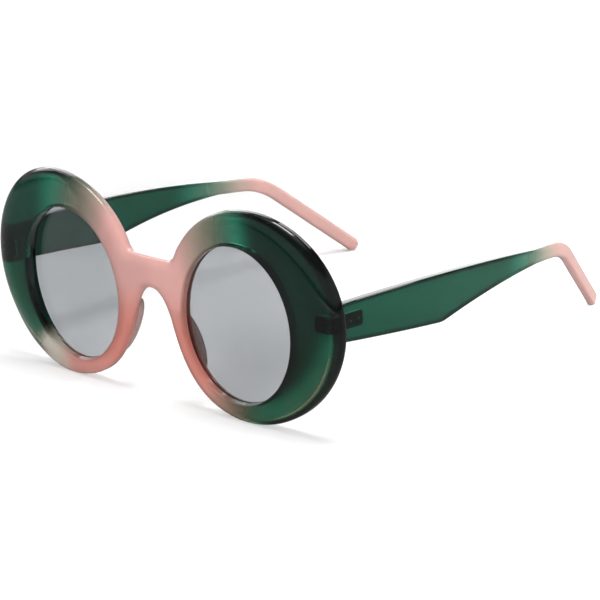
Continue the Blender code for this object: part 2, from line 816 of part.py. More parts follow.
def make_temple_leaf(side, sign):
    """The plate let into the temple's inner face, with the middle knuckle."""
    name = f"temple_hinge_leaf_{side}"
    parent = temple_empties[side]
    half_long = temple_leaf_back - temple_leaf_middle()
    low = (0.0, -half_long, -temple_leaf_tall / 2)
    high = (leaf_thickness, half_long, temple_leaf_tall / 2)
    plate = box(low, high, leaf_corner, 0)
    leaf = add_object(name, on_temple_face(plate, sign), parts, steel, parent)
    reach = (leaf_frame() @ Vector((leaf_thickness / 2, -temple_leaf_middle(), 0.0))).x
    neck_half = knuckle_tall * neck_share / 2
    neck = mirrored_box(sign, (0.0, -neck_width / 2, -neck_half), (reach, neck_width / 2, neck_half))
    boolean(leaf, helper(f"{name}_neck", neck, parent), "UNION")
    knuckle = bmesh.new()
    cylinder(knuckle, knuckle_radius, (0, 0, -knuckle_tall / 2), (0, 0, knuckle_tall / 2), round_steps)
    boolean(leaf, helper(f"{name}_knuckle", knuckle, parent), "UNION")
    boolean(leaf, screw_bore(f"{name}_bore", parent), "DIFFERENCE")
    for level, head, outward in temple_rivet_places(sign):
        rivet = f"temple_rivet_{side}_{level}"
        for tool in rivet_hole_tools(rivet, head, outward, parent):
            boolean(leaf, tool, "DIFFERENCE")
        make_rivet(rivet, head, outward, temple_rivet_length, parent)
    return leaf


clear_scene()
parts = collection("oval_sunglasses")
helpers = collection("cutters")
green_plastic = material("green_plastic", (0.022, 0.070, 0.048), 0.08)
pink_plastic = material("pink_plastic", (0.66, 0.33, 0.30), 0.10)
tinted_lens = material("tinted_lens", (0.36, 0.39, 0.41), 0.03, alpha=0.55)
steel = material("steel", (0.55, 0.55, 0.56), 0.30, metallic=1.0)

front_empty = bpy.data.objects.new("front_plane", None)
parts.objects.link(front_empty)
front_empty.location = (0, -front_plane_back, 0)
front_empty.rotation_euler.x = math.radians(front_lean_degrees)

hinge_empties = {}
temple_empties = {}
for side, sign in SIDES.items():
    for group, word in ((hinge_empties, "hinge_place"), (temple_empties, "temple_pivot")):
        group[side] = bpy.data.objects.new(f"{word}_{side}", None)
        parts.objects.link(group[side])
        group[side].location = hinge_point(sign)

table = helper("table", box(*table_box()))
make_front()
for side, sign in SIDES.items():
    make_lens(side, sign)
    make_nose_pad(side, sign)
    make_front_leaf(side, sign)
    make_hinge_screw(side)
    make_temple(side, sign)
    make_temple_leaf(side, sign)
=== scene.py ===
"""Oval sunglasses in two-colour moulded plastic, with tinted lenses, bonded nose pads and folding temples,
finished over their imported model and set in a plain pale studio.

Metres, +Z up, the wearer's left at +X, temples running back along +Y. On the front, u is the distance to the
side, w the height in its own leaning plane and depth the distance behind that plane.
"""

import math

import bmesh
import bpy
from bpy.props import FloatProperty, FloatVectorProperty, IntProperty, PointerProperty
from mathutils import Matrix, Vector


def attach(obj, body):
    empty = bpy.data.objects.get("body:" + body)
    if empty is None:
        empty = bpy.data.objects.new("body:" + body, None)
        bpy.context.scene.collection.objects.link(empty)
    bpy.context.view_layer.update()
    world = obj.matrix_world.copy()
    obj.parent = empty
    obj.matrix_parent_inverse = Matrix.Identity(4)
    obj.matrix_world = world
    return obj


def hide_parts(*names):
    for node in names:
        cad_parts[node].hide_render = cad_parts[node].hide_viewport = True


bl_info = {
    "name": "Oval Sunglasses",
    "version": (1, 0, 0),
    "blender": (4, 5, 0),
    "location": "3D View > Sidebar > Sunglasses",
    "description": "Builds a pair of oval sunglasses in two-colour plastic and the studio round them",
    "category": "Object",
}

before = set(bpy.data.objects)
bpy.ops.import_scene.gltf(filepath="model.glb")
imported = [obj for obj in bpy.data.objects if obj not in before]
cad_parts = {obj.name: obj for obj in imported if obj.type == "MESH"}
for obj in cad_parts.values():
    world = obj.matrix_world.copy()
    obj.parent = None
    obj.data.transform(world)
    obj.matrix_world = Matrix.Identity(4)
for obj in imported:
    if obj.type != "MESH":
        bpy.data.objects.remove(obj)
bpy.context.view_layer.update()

SIDES = {"left": 1, "right": -1}

BLACK = (0.0, 0.0, 0.0, 1.0)
WHITE = (1.0, 1.0, 1.0, 1.0)
# The near black of painted shade along edges and walls
SHADE_BLACK = (0.002, 0.0015, 0.0013, 1.0)
SMOKE_GREY = (0.30, 0.30, 0.30, 1.0)
HAZE_GREY = (0.40, 0.42, 0.44, 1.0)
STEEL_SHADE = (0.30, 0.30, 0.31, 1.0)
TABLE_GRAIN = (0.20, 0.20, 0.20, 1.0)
PLASTIC_IOR = 1.49
LENS_IOR = 1.50
# How finely the steel's drawn lines run along each axis
DRAWN_SCALE = (900.0, 900.0, 9000.0)

# The angles past which an edge is shaded sharp, in degrees
PLASTIC_SHARP = 40.0
LEAF_SHARP = 30.0
FIXING_SHARP = 35.0


# Sizes and colours


def length(name, description, default):
    return FloatProperty(
        name=name, description=description, default=default, precision=5, unit="LENGTH", subtype="DISTANCE"
    )


def angle(name, description, degrees):
    return FloatProperty(
        name=name, description=description, default=math.radians(degrees), unit="ROTATION", subtype="ANGLE"
    )


def share(name, description, default):
    return FloatProperty(
        name=name, description=description, default=default, min=0.0, max=1.0, subtype="FACTOR"
    )


def colour(name, description, default):
    return FloatVectorProperty(
        name=name, description=description, default=default, size=3, min=0.0, max=1.0, subtype="COLOR"
    )


def power(name, description, default):
    return FloatProperty(name=name, description=description, default=default, unit="POWER")


def strength(name, description, default):
    return FloatProperty(name=name, description=description, default=default)


def steps(name, description, default):
    return IntProperty(name=name, description=description, default=default, min=3)


class FrontSizes(bpy.types.PropertyGroup):
    plane_back: length("Plane", "Distance of the front's plane before the origin", 0.0731)
    lean: angle("Lean", "How far the front's top leans back", 1.73)
    rim_out: length("Rim centre out", "Distance of a rim's middle from the bridge's middle", 0.03673)
    rim_up: length("Rim centre up", "Height of a rim's middle", 0.03068)
    rim_half_short: length("Rim half width", "Short half axis of a rim's outline", 0.03025)
    rim_half_long: length("Rim half length", "Long half axis of a rim's outline", 0.03132)
    rim_lean: angle("Rim lean", "Lean of a rim's long axis", 39.0)
    bridge_top: length("Bridge top", "Height of the bridge's upper edge", 0.0422)
    bridge_fillet: length("Bridge fillet", "Softening where the bridge meets a rim", 0.0022)
    arch_top: length("Arch top", "Height of the arch over the nose", 0.0328)
    arch_reach: length("Arch reach", "How widely the arch is drawn", 0.0101)
    arch_lift: length("Arch lift", "How far the mesh's rows bow up over the arch", 0.0020)
    arch_lift_reach: length("Arch lift reach", "How far out the mesh's rows bow up", 0.0045)
    nose_join: angle("Nose join", "Where a rim's ellipse turns into its nose side", 293.8)
    nose_reach: length("Nose reach", "How widely a rim's nose side is drawn", 0.0230)
    opening_out: length("Opening out", "Distance of an opening's middle from the bridge's middle", 0.0327)
    opening_up: length("Opening up", "Height of an opening's middle", 0.0280)
    opening_half_width: length("Opening half width", "Half the width of an opening", 0.0198)
    opening_half_height: length("Opening half height", "Half the height of an opening", 0.0231)
    opening_lean: angle("Opening lean", "How far an opening's top leans outwards", 4.9)
    wrap_radius: length("Wrap radius", "Radius of the front's curve round the face", 1.35)
    wall: length("Wall", "Thickness of the front", 0.0043)
    end_wall: length("End wall", "Thickness of the front at its hinges", 0.0069)
    wall_grows_from: length("Wall grows from", "Where the front starts to thicken", 0.0280)
    scoop: length("Scoop", "Depth of the hollow behind the bridge", 0.0011)
    scoop_reach: length("Scoop reach", "How far the hollow behind the bridge reaches", 0.0130)
    bridge_shoulder: length("Bridge shoulder", "Width of the soft edge at the bridge", 0.0032)
    crown_shoulder: length("Crown shoulder", "Width of the soft edge over a lens", 0.0058)
    end_shoulder: length("End shoulder", "Width of the soft edge at the ends", 0.0080)
    crown_drop: length("Crown drop", "Depth of the soft edge over a lens", 0.0020)
    end_drop: length("End drop", "Depth of the soft edge at the ends", 0.0050)
    opening_edge: length("Opening edge", "Rounding of an opening's front edge", 0.0005)
    opening_back_edge: length("Opening back edge", "Rounding of an opening's back edge", 0.0004)
    back_edge: length("Back edge", "Rounding of the back's outer edge", 0.0012)
    nose_edge: length("Nose edge", "Rounding of the back's edge beside the nose", 0.0018)
    rim_steps: steps("Rim steps", "Sections round a rim", 150)
    nose_steps: steps("Nose steps", "Sections down the nose side", 60)


class LensSizes(bpy.types.PropertyGroup):
    thickness: length("Thickness", "Thickness of a lens", 0.0012)
    radius: length("Radius", "Radius of a lens's curve", 0.53)
    inset_nose: length("Inset at nose", "How far behind the face a lens sits at the nose", 0.0020)
    inset_end: length("Inset at end", "How far behind the face a lens sits at the outer end", 0.0032)
    in_groove: length("In groove", "How far a lens reaches into its groove", 0.0008)
    groove_gap: length("Groove gap", "Room between a lens and its groove", 0.00006)
    turns: steps("Turns", "Points round a lens", 128)
    rings: steps("Rings", "Rings of points across a lens", 24)


class PadSizes(bpy.types.PropertyGroup):
    height: length("Height", "Height of a nose pad", 0.0175)
    reach: length("Reach", "How far a pad stands behind the rim", 0.0040)
    thickness: length("Thickness", "Thickness of a pad", 0.0026)
    out: length("Out", "Distance of a pad from the bridge's middle", 0.0122)
    up: length("Up", "Height of a pad's middle", 0.0184)
    lean: angle("Lean", "How far a pad's foot stands out", 23.0)
    flare: angle("Flare", "How far a pad's back edge turns out", 3.0)


class TempleSizes(bpy.types.PropertyGroup):
    thickness: length("Thickness", "Thickness of a temple", 0.0029)
    bow_out: length("Bow out", "How far a temple bows out past the rim's end", 0.00054)
    widest_back: length("Widest back", "Where a temple stands out furthest", 0.0500)
    bow_radius: length("Bow radius", "Radius of a temple's bow", 0.400)
    top_height: length("Top height", "Height of a temple's upper edge", 0.0390)
    top_crest_back: length("Crest back", "Where the upper edge is highest", 0.0120)
    top_radius: length("Top radius", "Radius of the upper edge's arc", 0.575)
    butt_gap: length("Butt gap", "Gap between a temple's end and the front", 0.0003)
    front_tall: length("Front height", "Height of the blade at its front end", 0.0112)
    front_back: length("Front end", "Where the blade starts", 0.0080)
    corner_back: length("Corner back", "Where the lower edge turns", 0.0478)
    corner_tall: length("Corner height", "Drop from the upper edge to the corner", 0.0154)
    corner_soften: length("Corner softening", "Rounding of the lower corner", 0.0014)
    neck_before_bend: length("Neck", "Distance of the arm's start before the bend", 0.0180)
    neck_tall: length("Neck height", "Drop from the upper edge to the neck's lower edge", 0.0105)
    arm_tall: length("Arm height", "Height of the arm behind the blade", 0.0044)
    bend_draw_in: length("Bend draw-in", "How far the bend lies inside the widest place", 0.00665)
    bend_before_tip: length("Bend before tip", "Distance of the bend before the tip", 0.0324)
    bend_drop: length("Bend drop", "Drop from the upper edge to the bend's middle", 0.0101)
    bend_run: length("Bend run", "Length over which the bend turns", 0.0078)
    tip_draw_in: length("Tip draw-in", "How far the tip lies inside the bend", 0.0117)
    tip_back: length("Tip back", "Distance of the tip behind the front", 0.1454)
    tip_height: length("Tip height", "Height of the tip's middle", 0.0021)
    tip_round: length("Tip rounding", "Length of the tip's round end", 0.0022)
    blade_edge: length("Blade edge", "Rounding of the blade's edges", 0.0007)
    arm_edge: length("Arm edge", "Rounding of the arm's edges", 0.0012)
    blade_steps: steps("Blade steps", "Sections along the blade", 72)
    bend_steps: steps("Bend steps", "Sections round the bend", 28)


class HingeSizes(bpy.types.PropertyGroup):
    inset: length("Inset", "Distance of the hinge's axis from the temple's inner face", 0.002045)
    drop: length("Drop", "Drop from the temple's upper edge to the hinge's middle", 0.0059)
    knuckle_radius: length("Knuckle radius", "Radius of a knuckle", 0.00125)
    knuckle_tall: length("Knuckle height", "Height of a knuckle", 0.0015)
    knuckle_gap: length("Knuckle gap", "Gap between knuckles", 0.00012)
    swing_gap: length("Swing gap", "Gap between a knuckle and the front", 0.0003)
    leaf_thickness: length("Leaf thickness", "Thickness of a leaf", 0.0009)
    leaf_tall: length("Leaf height", "Height of the front's leaf", 0.0046)
    leaf_corner: length("Leaf corner", "Rounding of a leaf's corners", 0.0008)
    inner_reach: length("Inner reach", "Reach of the front's leaf towards the nose", 0.0019)
    outer_reach: length("Outer reach", "Reach of the front's leaf towards the end", 0.0043)
    temple_leaf_tall: length("Temple leaf height", "Height of a temple's leaf", 0.0043)
    temple_leaf_front: length("Temple leaf front", "Reach of a temple's leaf before its axis", 0.0007)
    temple_leaf_back: length("Temple leaf back", "Reach of a temple's leaf behind its axis", 0.0078)
    sunk: length("Sunk", "How far the front's leaf lies under the plastic's back", 0.0001)
    pocket_gap: length("Pocket gap", "Room round a leaf in its pocket", 0.00008)
    rivet_radius: length("Rivet radius", "Radius of a rivet's shank", 0.0004)
    rivet_head: length("Rivet head", "Radius of a rivet's head", 0.00078)
    rivet_head_tall: length("Rivet head height", "Height of a rivet's head", 0.0004)
    front_rivet_length: length("Front rivet length", "Length of a rivet in the front", 0.0023)
    temple_rivet_length: length("Temple rivet length", "Length of a rivet in a temple", 0.0018)
    front_rivet_pitch: length("Front rivet pitch", "Distance between the front's rivets", 0.0022)
    front_rivet_out: length("Front rivet out", "Distance of the front's rivets from the axis", 0.0027)
    temple_rivet_first: length("First temple rivet", "Distance of the first rivet behind the axis", 0.0029)
    temple_rivet_pitch: length("Temple rivet pitch", "Distance between a temple's rivets", 0.0031)
    screw_radius: length("Screw radius", "Radius of a hinge screw", 0.0006)
    screw_head: length("Screw head", "Radius of a screw's head", 0.00105)
    screw_head_tall: length("Screw head height", "Height of a screw's head", 0.0006)
    screw_head_gap: length("Screw head gap", "Gap under a screw's head", 0.0001)
    screw_slot: length("Screw slot", "Width and depth of a screw's slot", 0.0003)


class Finishes(bpy.types.PropertyGroup):
    deep_green: colour("Deep green", "Colour of the front at its outer ends", (0.001, 0.008, 0.005))
    green: colour("Green", "Colour of the front's green where it thins out", (0.009, 0.200, 0.122))
    khaki: colour("Khaki", "Colour of the front halfway between taupe and olive", (0.235, 0.235, 0.165))
    olive: colour("Olive", "Colour of the front where green turns into pink", (0.070, 0.130, 0.085))
    taupe: colour("Taupe", "Colour of the front where pink turns into green", (0.410, 0.325, 0.255))
    dusty_pink: colour("Dusty pink", "Colour of the front where the pink dulls", (0.640, 0.420, 0.360))
    pink: colour("Pink", "Colour of the front at the bridge", (1.000, 0.545, 0.505))
    temple_green: colour("Temple green", "Colour of a temple's blade", (0.005, 0.042, 0.024))
    bright_green: colour("Bright green", "Colour of a temple's green before its bend", (0.020, 0.215, 0.138))
    beige: colour("Beige", "Colour of a temple where green and pink meet", (0.360, 0.400, 0.300))
    tip_pink: colour("Tip pink", "Colour of a temple's tip", (1.0, 0.570, 0.530))
    deep_pink: colour("Deep pink", "How the pink deepens at the rims' feet", (0.900, 0.590, 0.520))
    # Painted glow on the right rim's foot
    foot_glow: colour("Foot beige", "Colour of the right rim's foot", (0.900, 0.840, 0.720))
    pad_pink: colour("Pad pink", "Colour of the nose pads", (0.900, 0.600, 0.560))
    # Painted shade on the nose pads' outer sides
    painted_pad_shade: colour("Pad shade", "Colour of the nose pads' outer sides", (0.040, 0.027, 0.024))
    # Painted shade, browning the pink at an opening's edge
    opening_shade: colour("Opening brown", "How the pink darkens at an opening's edge", (0.420, 0.330, 0.270))
    milkiness: share("Milkiness", "Share of the pink plastic that scatters light", 0.90)
    pad_milkiness: share("Pad milkiness", "Share of a nose pad that scatters light", 0.35)
    polish: share("Polish", "Roughness of the polished surface", 0.03)
    lens_tint: colour("Lens tint", "Colour of light through a lens", (0.470, 0.490, 0.508))
    steel: colour("Steel", "Colour of the hinges", (0.400, 0.400, 0.405))


class Studio(bpy.types.PropertyGroup):
    camera_place: FloatVectorProperty(
        name="Camera place", description="Where the camera stands", default=(0.49694, -0.56170, 0.25289),
        size=3, unit="LENGTH", subtype="TRANSLATION",
    )
    camera_round: angle("Camera round", "Angle of the camera round the object", 42.0)
    camera_up: angle("Camera up", "Angle of the camera above the table", 17.904)
    camera_roll: angle("Camera roll", "Roll of the camera", -1.5304)
    camera_lens: FloatProperty(
        name="Focal length", description="The camera's focal length", default=154.311, unit="CAMERA"
    )
    floor_colour: colour("Floor", "Colour of the table", (0.86, 0.86, 0.86))
    bounce_colour: colour("Bounce", "Colour of the light that the table throws up", (0.24, 0.24, 0.24))
    floor_lift: strength("Floor lift", "How far the table is lifted to white", 0.06)
    far_lift: strength("Far lift", "How far the table is lifted far away", 0.80)
    mirror_share: share("Mirror share", "How much of the pale table a polished surface shows", 0.06)
    key_power: power("Key light", "Power of the overhead lamp", 3.3)
    back_power: power("Back light", "Power of the lamp behind", 1.2)
    left_power: power("Left light", "Power of the left lamp", 0.7)
    fill_power: power("Fill light", "Power of the front lamp", 7.5)
    side_power: power("Side light", "Power of the right lamp", 0.07)
    window_power: power("Window", "Power of the low left lamp", 0.5)
    mirrored_sky: strength("Mirrored sky", "Strength of the pale surroundings in polished surfaces", 2.5)
    sky: strength("Sky", "Strength of the light from all round", 0.55)


GROUPS = {
    "front": FrontSizes,
    "lens": LensSizes,
    "pad": PadSizes,
    "temple": TempleSizes,
    "hinge": HingeSizes,
    "finish": Finishes,
    "studio": Studio,
}


def settings(name):
    """One group of the scene's sizes and colours."""
    return getattr(bpy.context.scene, f"sunglasses_{name}")


# Node graphs


class Value:
    """A node's output that can be used in Python expressions; each operator adds its Math node."""

    def __init__(self, graph, socket):
        self.graph = graph
        self.socket = socket

    def __add__(self, other):
        return self.graph.math("ADD", self, other)

    def __sub__(self, other):
        return self.graph.math("SUBTRACT", self, other)

    def __mul__(self, other):
        return self.graph.math("MULTIPLY", self, other)

    def __truediv__(self, other):
        return self.graph.math("DIVIDE", self, other)

    def __radd__(self, other):
        return self.graph.math("ADD", other, self)

    def __rsub__(self, other):
        return self.graph.math("SUBTRACT", other, self)

    def __rmul__(self, other):
        return self.graph.math("MULTIPLY", other, self)

    def __rtruediv__(self, other):
        return self.graph.math("DIVIDE", other, self)


class Graph:
    """A node tree, the one method that adds nodes to it and short forms of what is used often."""

    def __init__(self, tree):
        self.tree = tree

    def add(self, kind, options=None, values=None, output=0):
        """Adds a node: its options are set first, then its inputs' values or links, by name or number."""
        node = self.tree.nodes.new(kind)
        for name, value in (options or {}).items():
            if name == "stops":
                node.color_ramp.interpolation = "B_SPLINE"
                while len(node.color_ramp.elements) < len(value):
                    node.color_ramp.elements.new(1.0)
                for element, (position, tint) in zip(node.color_ramp.elements, value):
                    element.position = position
                    element.color = (*tint, 1.0)
            else:
                setattr(node, name, value)
        for key, value in (values or {}).items():
            if isinstance(value, Value):
                self.tree.links.new(value.socket, node.inputs[key])
            else:
                node.inputs[key].default_value = value
        return Value(self, node.outputs[output])

    def math(self, operation, *values):
        return self.add("ShaderNodeMath", {"operation": operation}, dict(enumerate(values)))

    def clamped(self, value):
        """The value, kept between 0 and 1."""
        return self.math("MINIMUM", self.math("MAXIMUM", value, 0.0), 1.0)

    def smooth(self, value, low, high):
        """0 below low, 1 above high and a smooth step between."""
        return self.add(
            "ShaderNodeMapRange", {"interpolation_type": "SMOOTHSTEP"},
            {"Value": value, "From Min": low, "From Max": high},
        )

    def band(self, value, rise, fade):
        """Rises smoothly from 0 to 1 over the first range and falls back to 0 over the second."""
        return self.smooth(value, *rise) * (1 - self.smooth(value, *fade))

    def tint(self, factor, first, second, blend="MIX"):
        """Blends two colours."""
        values = {0: factor, 6: first, 7: second}
        return self.add("ShaderNodeMix", {"data_type": "RGBA", "blend_type": blend}, values, output=2)

    def parts(self, vector):
        """The three parts of a vector."""
        split = self.add("ShaderNodeSeparateXYZ", None, {0: vector})
        outputs = split.socket.node.outputs
        return [Value(self, outputs[index]) for index in range(3)]

    def place(self):
        """The place on the object, in metres."""
        return self.add("ShaderNodeTexCoord", output="Object")

    def noise(self, place, scale, detail=2.0, distortion=0.0):
        values = {"Vector": place, "Scale": scale, "Detail": detail, "Distortion": distortion}
        return self.add("ShaderNodeTexNoise", None, values)

    def ray(self, kind):
        """1 for one kind of ray, such as Is Camera Ray."""
        return self.add("ShaderNodeLightPath", output=kind)


def new_material(name):
    """An empty material and its graph."""
    made = bpy.data.materials.new(name)
    made.use_nodes = True
    made.node_tree.nodes.clear()
    return made, Graph(made.node_tree)


def finish_material(graph, surface, volume=None):
    """Ends a material in its output."""
    inputs = graph.tree.nodes.new("ShaderNodeOutputMaterial").inputs
    graph.tree.links.new(surface.socket, inputs["Surface"])
    if volume:
        graph.tree.links.new(volume.socket, inputs["Volume"])


def opaque(tint):
    return (*tint, 1.0)


# Where the colours change

# A pair is a range over which a smooth step runs. Heights, distances out and depths are in metres. A
# reach is a share of the way from a rim's or an opening's middle to its edge. A run is a place between
# the bridge, at 0, and a rim's outer end, at 1.

RUN_TOP = 0.060
RUN_TALL = 0.054
# For each side: the run's middle out at the top, how much further out it is at the foot, half the run's
# width at the top, and how much of that is gone at the foot.
LEFT_RUN = (0.0245, 0.0085, 0.0165, 0.0035)
RIGHT_RUN = (0.0285, 0.0155, 0.0185, 0.0120)

# Where the plastic goes over from milky to clear
CLEAR_RUN = (0.22, 0.82)

# Painted glow: where a rim's lower outer edge is lightened, by how much, and a painted highlight line along
# it
GLOW_HEIGHTS = (0.018, 0.040)
GLOW_OUT = (0.036, 0.050)
GLOW_REACH = (0.62, 0.92)
GLOW_STRENGTH = 0.28
GLOW_LINE_RISE, GLOW_LINE_FADE = (0.924, 0.934), (0.940, 0.948)
GLOW_LINE_STRENGTH = 0.30

# Where the pink deepens low down, and by how much at the foot and above it
DEEP_PINK_HEIGHTS = (0.020, 0.036)
DEEP_PINK_EASE = (0.002, 0.012)
DEEP_PINK_LEAST, DEEP_PINK_MORE = 0.55, 0.45
# Where painted glow makes the right rim's foot paler
FOOT_GLOW_HEIGHTS = (0.008, 0.024)
FOOT_GLOW_RISE, FOOT_GLOW_FADE = (-0.35, 0.25), (0.46, 0.80)
FOOT_GLOW_STRENGTH = 0.8
# Where painted shade browns the pink beside an opening, and by how much at the foot and above it
OPENING_SHADE_REACH = (1.000, 1.050)
OPENING_SHADE_HEIGHTS = (0.008, 0.028)
OPENING_SHADE_LEAST, OPENING_SHADE_MORE = 0.35, 0.50
PINK_RUN = (0.35, 0.70)
# Where painted shade darkens the left rim's outer end
END_SHADE_RUN = (0.80, 0.96)
END_SHADE_STRENGTH = 0.6

# Where painted shade makes a rim's outer wall near black
WALL_SHADE_REACH = (0.946, 0.960)
WALL_SHADE_RUN = (0.50, 0.95)

# Where the painted shade on a pad's outer side starts and how strong it is, and the height and length of a
# pad's run
PAD_SHADE_TURN = (-0.0006, 0.0006)
PAD_SHADE_STRENGTH = 0.93
PAD_LOW = 0.009
PAD_TALL = 0.12

# For each side: how far back the middle of a temple's run lies, and half its width.
LEFT_TEMPLE_RUN = (0.0225, 0.0170)
RIGHT_TEMPLE_RUN = (0.0210, 0.0180)
# Painted shade lines along a blade's edges: depth under the upper one, height over the lower one, and where
# along the temple each one fades
UPPER_RISE, UPPER_FADE = (0.0001, 0.0004), (0.0008, 0.0013)
UPPER_ENDS = (0.000, 0.026)
LOWER_FADE = (0.0005, 0.0011)
LOWER_ENDS = (0.012, 0.030)
EDGE_SHADE_STRENGTH = 0.9

# Where painted shade darkens a lens towards the top, and by how much
LENS_HEIGHTS = (0.004, 0.026)
LENS_SHADE = 0.20

# The finishes' fine detail: how fine each pattern is, and how much it changes
CLOUD_SCALE, CLOUD_TWIST, CLOUD_SHIFT = 60.0, 0.6, 0.08
MOTTLE_SCALE, MOTTLE_DARKER, MOTTLE_ROUGHER = 220.0, 0.12, 0.1
HAIRLINE_SCALE, HAIRLINE_ROUGHER = 1400.0, 0.02
MILKY_ROUGHNESS, MILKY_CLEARNESS = 0.42, 0.40
SMOKE_DENSITY = 30.0
HAZE_SCALE, HAZE_PALER, HAZE_ROUGHER = 40.0, 0.06, 0.01
DRAWN_DARKER, DRAWN_DEPTH = 0.35, 0.00003
STEEL_ROUGHNESS, DRAWN_ROUGHER = 0.22, 0.18


# Materials


def polished_plastic(name, place_mask, stops, milkiness, shading=None, shade_mask=None):
    """Moulded plastic whose colour runs along place_mask from milky pink to clear green, polished."""
    polish = settings("finish").polish
    made, graph = new_material(name)
    place = graph.place()
    x, y, z = graph.parts(place)
    clouds = graph.noise(place, CLOUD_SCALE, distortion=CLOUD_TWIST)
    mask = place_mask(graph, x, y, z) + (clouds - 0.5) * CLOUD_SHIFT
    base = graph.add("ShaderNodeValToRGB", {"stops": stops}, {0: mask})
    if shading:
        base = shading(graph, base, mask, x, y, z)
    # Painted shade: where the mask is 1 the surface goes near black
    if shade_mask:
        base = graph.tint(shade_mask(graph, x, y, z), base, SHADE_BLACK)
    mottle = graph.noise(place, MOTTLE_SCALE, 3.0)
    hairlines = graph.noise(place, HAIRLINE_SCALE)
    base = graph.tint((mottle - 0.3) * MOTTLE_DARKER, base, BLACK)
    clear = graph.add(
        "ShaderNodeBsdfPrincipled", None,
        {
            "Base Color": base,
            "Roughness": polish + hairlines * HAIRLINE_ROUGHER,
            "IOR": PLASTIC_IOR,
            "Transmission Weight": 1.0,
        },
    )
    milky = graph.add(
        "ShaderNodeBsdfPrincipled", None,
        {
            "Base Color": base,
            "Roughness": MILKY_ROUGHNESS + (mottle - 0.5) * MOTTLE_ROUGHER,
            "IOR": PLASTIC_IOR,
            "Transmission Weight": MILKY_CLEARNESS,
            "Coat Weight": 1.0,
            "Coat Roughness": polish,
        },
    )
    cloudy = (1 - graph.smooth(mask, *CLEAR_RUN)) * milkiness
    shader = graph.add("ShaderNodeMixShader", None, {0: cloudy, 1: clear, 2: milky})
    smoke = graph.add("ShaderNodeVolumeAbsorption", None, {
        "Color": SMOKE_GREY, "Density": SMOKE_DENSITY,
    })
    finish_material(graph, shader, smoke)
    return made


def front_run(graph, x, z):
    """0 at the bridge and the nose sides, 1 at the outer ends; the two sides differ a little."""
    left = graph.math("GREATER_THAN", x, 0.0)
    down = graph.clamped((RUN_TOP - z) / RUN_TALL)
    out = graph.math("ABSOLUTE", x)
    (l_middle, l_further, l_half, l_gone), (r_middle, r_further, r_half, r_gone) = LEFT_RUN, RIGHT_RUN
    middle = left * (l_middle + l_further * down) + (1 - left) * (r_middle + r_further * down)
    half = left * (l_half - l_gone * down) + (1 - left) * (r_half - r_gone * down)
    return graph.math("MINIMUM", (out - middle) / (2 * half) + 0.5, 1.0)


def ellipse_reach(graph, x, z, middle, halves, lean):
    """How far out a place is in a leaning ellipse on its side of the bridge: 1 at the ellipse."""
    cosine, sine = math.cos(lean), math.sin(lean)
    du, dw = graph.math("ABSOLUTE", x) - middle[0], z - middle[1]
    across = (du * cosine - dw * sine) / halves[0]
    up = (du * sine + dw * cosine) / halves[1]
    return graph.math("SQRT", across * across + up * up)


def rim_reach(graph, x, z):
    s = settings("front")
    middle, halves = (s.rim_out, s.rim_up), (s.rim_half_short, s.rim_half_long)
    return ellipse_reach(graph, x, z, middle, halves, s.rim_lean)


def opening_reach(graph, x, z):
    s = settings("front")
    middle, halves = (s.opening_out, s.opening_up), (s.opening_half_width, s.opening_half_height)
    return ellipse_reach(graph, x, z, middle, halves, s.opening_lean)


def front_mask(graph, x, y, z):
    """The front's run of colour, with painted glow and a painted highlight line towards a rim's lower outer
    edge.
    """
    reach = rim_reach(graph, x, z)
    # Painted glow and a painted highlight line: the colour runs back towards the lighter green
    low = (1 - graph.smooth(z, *GLOW_HEIGHTS)) * graph.smooth(graph.math("ABSOLUTE", x), *GLOW_OUT)
    glow_line = graph.band(reach, GLOW_LINE_RISE, GLOW_LINE_FADE)
    painted_glow = GLOW_STRENGTH * graph.smooth(reach, *GLOW_REACH) + GLOW_LINE_STRENGTH * glow_line
    return front_run(graph, x, z) - painted_glow * low


def front_shading(graph, base, mask, x, y, z):
    """The pink deepens towards the feet, painted shade browns it at the openings, painted glow makes the
    right rim's foot paler where it turns green, and painted shade darkens the left rim's end."""
    look = settings("finish")
    right = graph.math("LESS_THAN", x, 0.0)
    deep = DEEP_PINK_LEAST + DEEP_PINK_MORE * graph.smooth(z, *DEEP_PINK_EASE)
    below = (1 - graph.smooth(z, *DEEP_PINK_HEIGHTS)) * deep
    base = graph.tint(below, base, opaque(look.deep_pink), "MULTIPLY")
    # Painted glow: the right rim's foot is paler where it turns green
    foot = (1 - graph.smooth(z, *FOOT_GLOW_HEIGHTS)) * graph.band(mask, FOOT_GLOW_RISE, FOOT_GLOW_FADE)
    base = graph.tint(foot * right * FOOT_GLOW_STRENGTH, base, opaque(look.foot_glow))
    # Painted shade along an opening's edge
    opening_edge_shade = 1 - graph.smooth(opening_reach(graph, x, z), *OPENING_SHADE_REACH)
    pink = 1 - graph.smooth(mask, *PINK_RUN)
    high = OPENING_SHADE_LEAST + OPENING_SHADE_MORE * graph.smooth(z, *OPENING_SHADE_HEIGHTS)
    base = graph.tint(opening_edge_shade * pink * high, base, opaque(look.opening_shade), "MULTIPLY")
    # Painted shade on the left rim's outer end
    end_shade = graph.smooth(mask, *END_SHADE_RUN) * (1 - right)
    return graph.tint(end_shade * END_SHADE_STRENGTH, base, BLACK)


def front_stops():
    look = settings("finish")
    return [
        (0.0, look.pink), (0.13, look.dusty_pink), (0.28, look.taupe), (0.44, look.khaki),
        (0.60, look.olive), (0.78, look.green), (1.0, look.deep_green),
    ]


def rim_wall_shade(graph, x, y, z):
    """1 on a rim's outer wall, painted near black as shade where light runs a long way through the plastic.
    """
    return graph.smooth(rim_reach(graph, x, z), *WALL_SHADE_REACH) * graph.smooth(front_run(graph, x, z), *WALL_SHADE_RUN)


def pad_mask(graph, x, y, z):
    return (z - PAD_LOW) / PAD_TALL


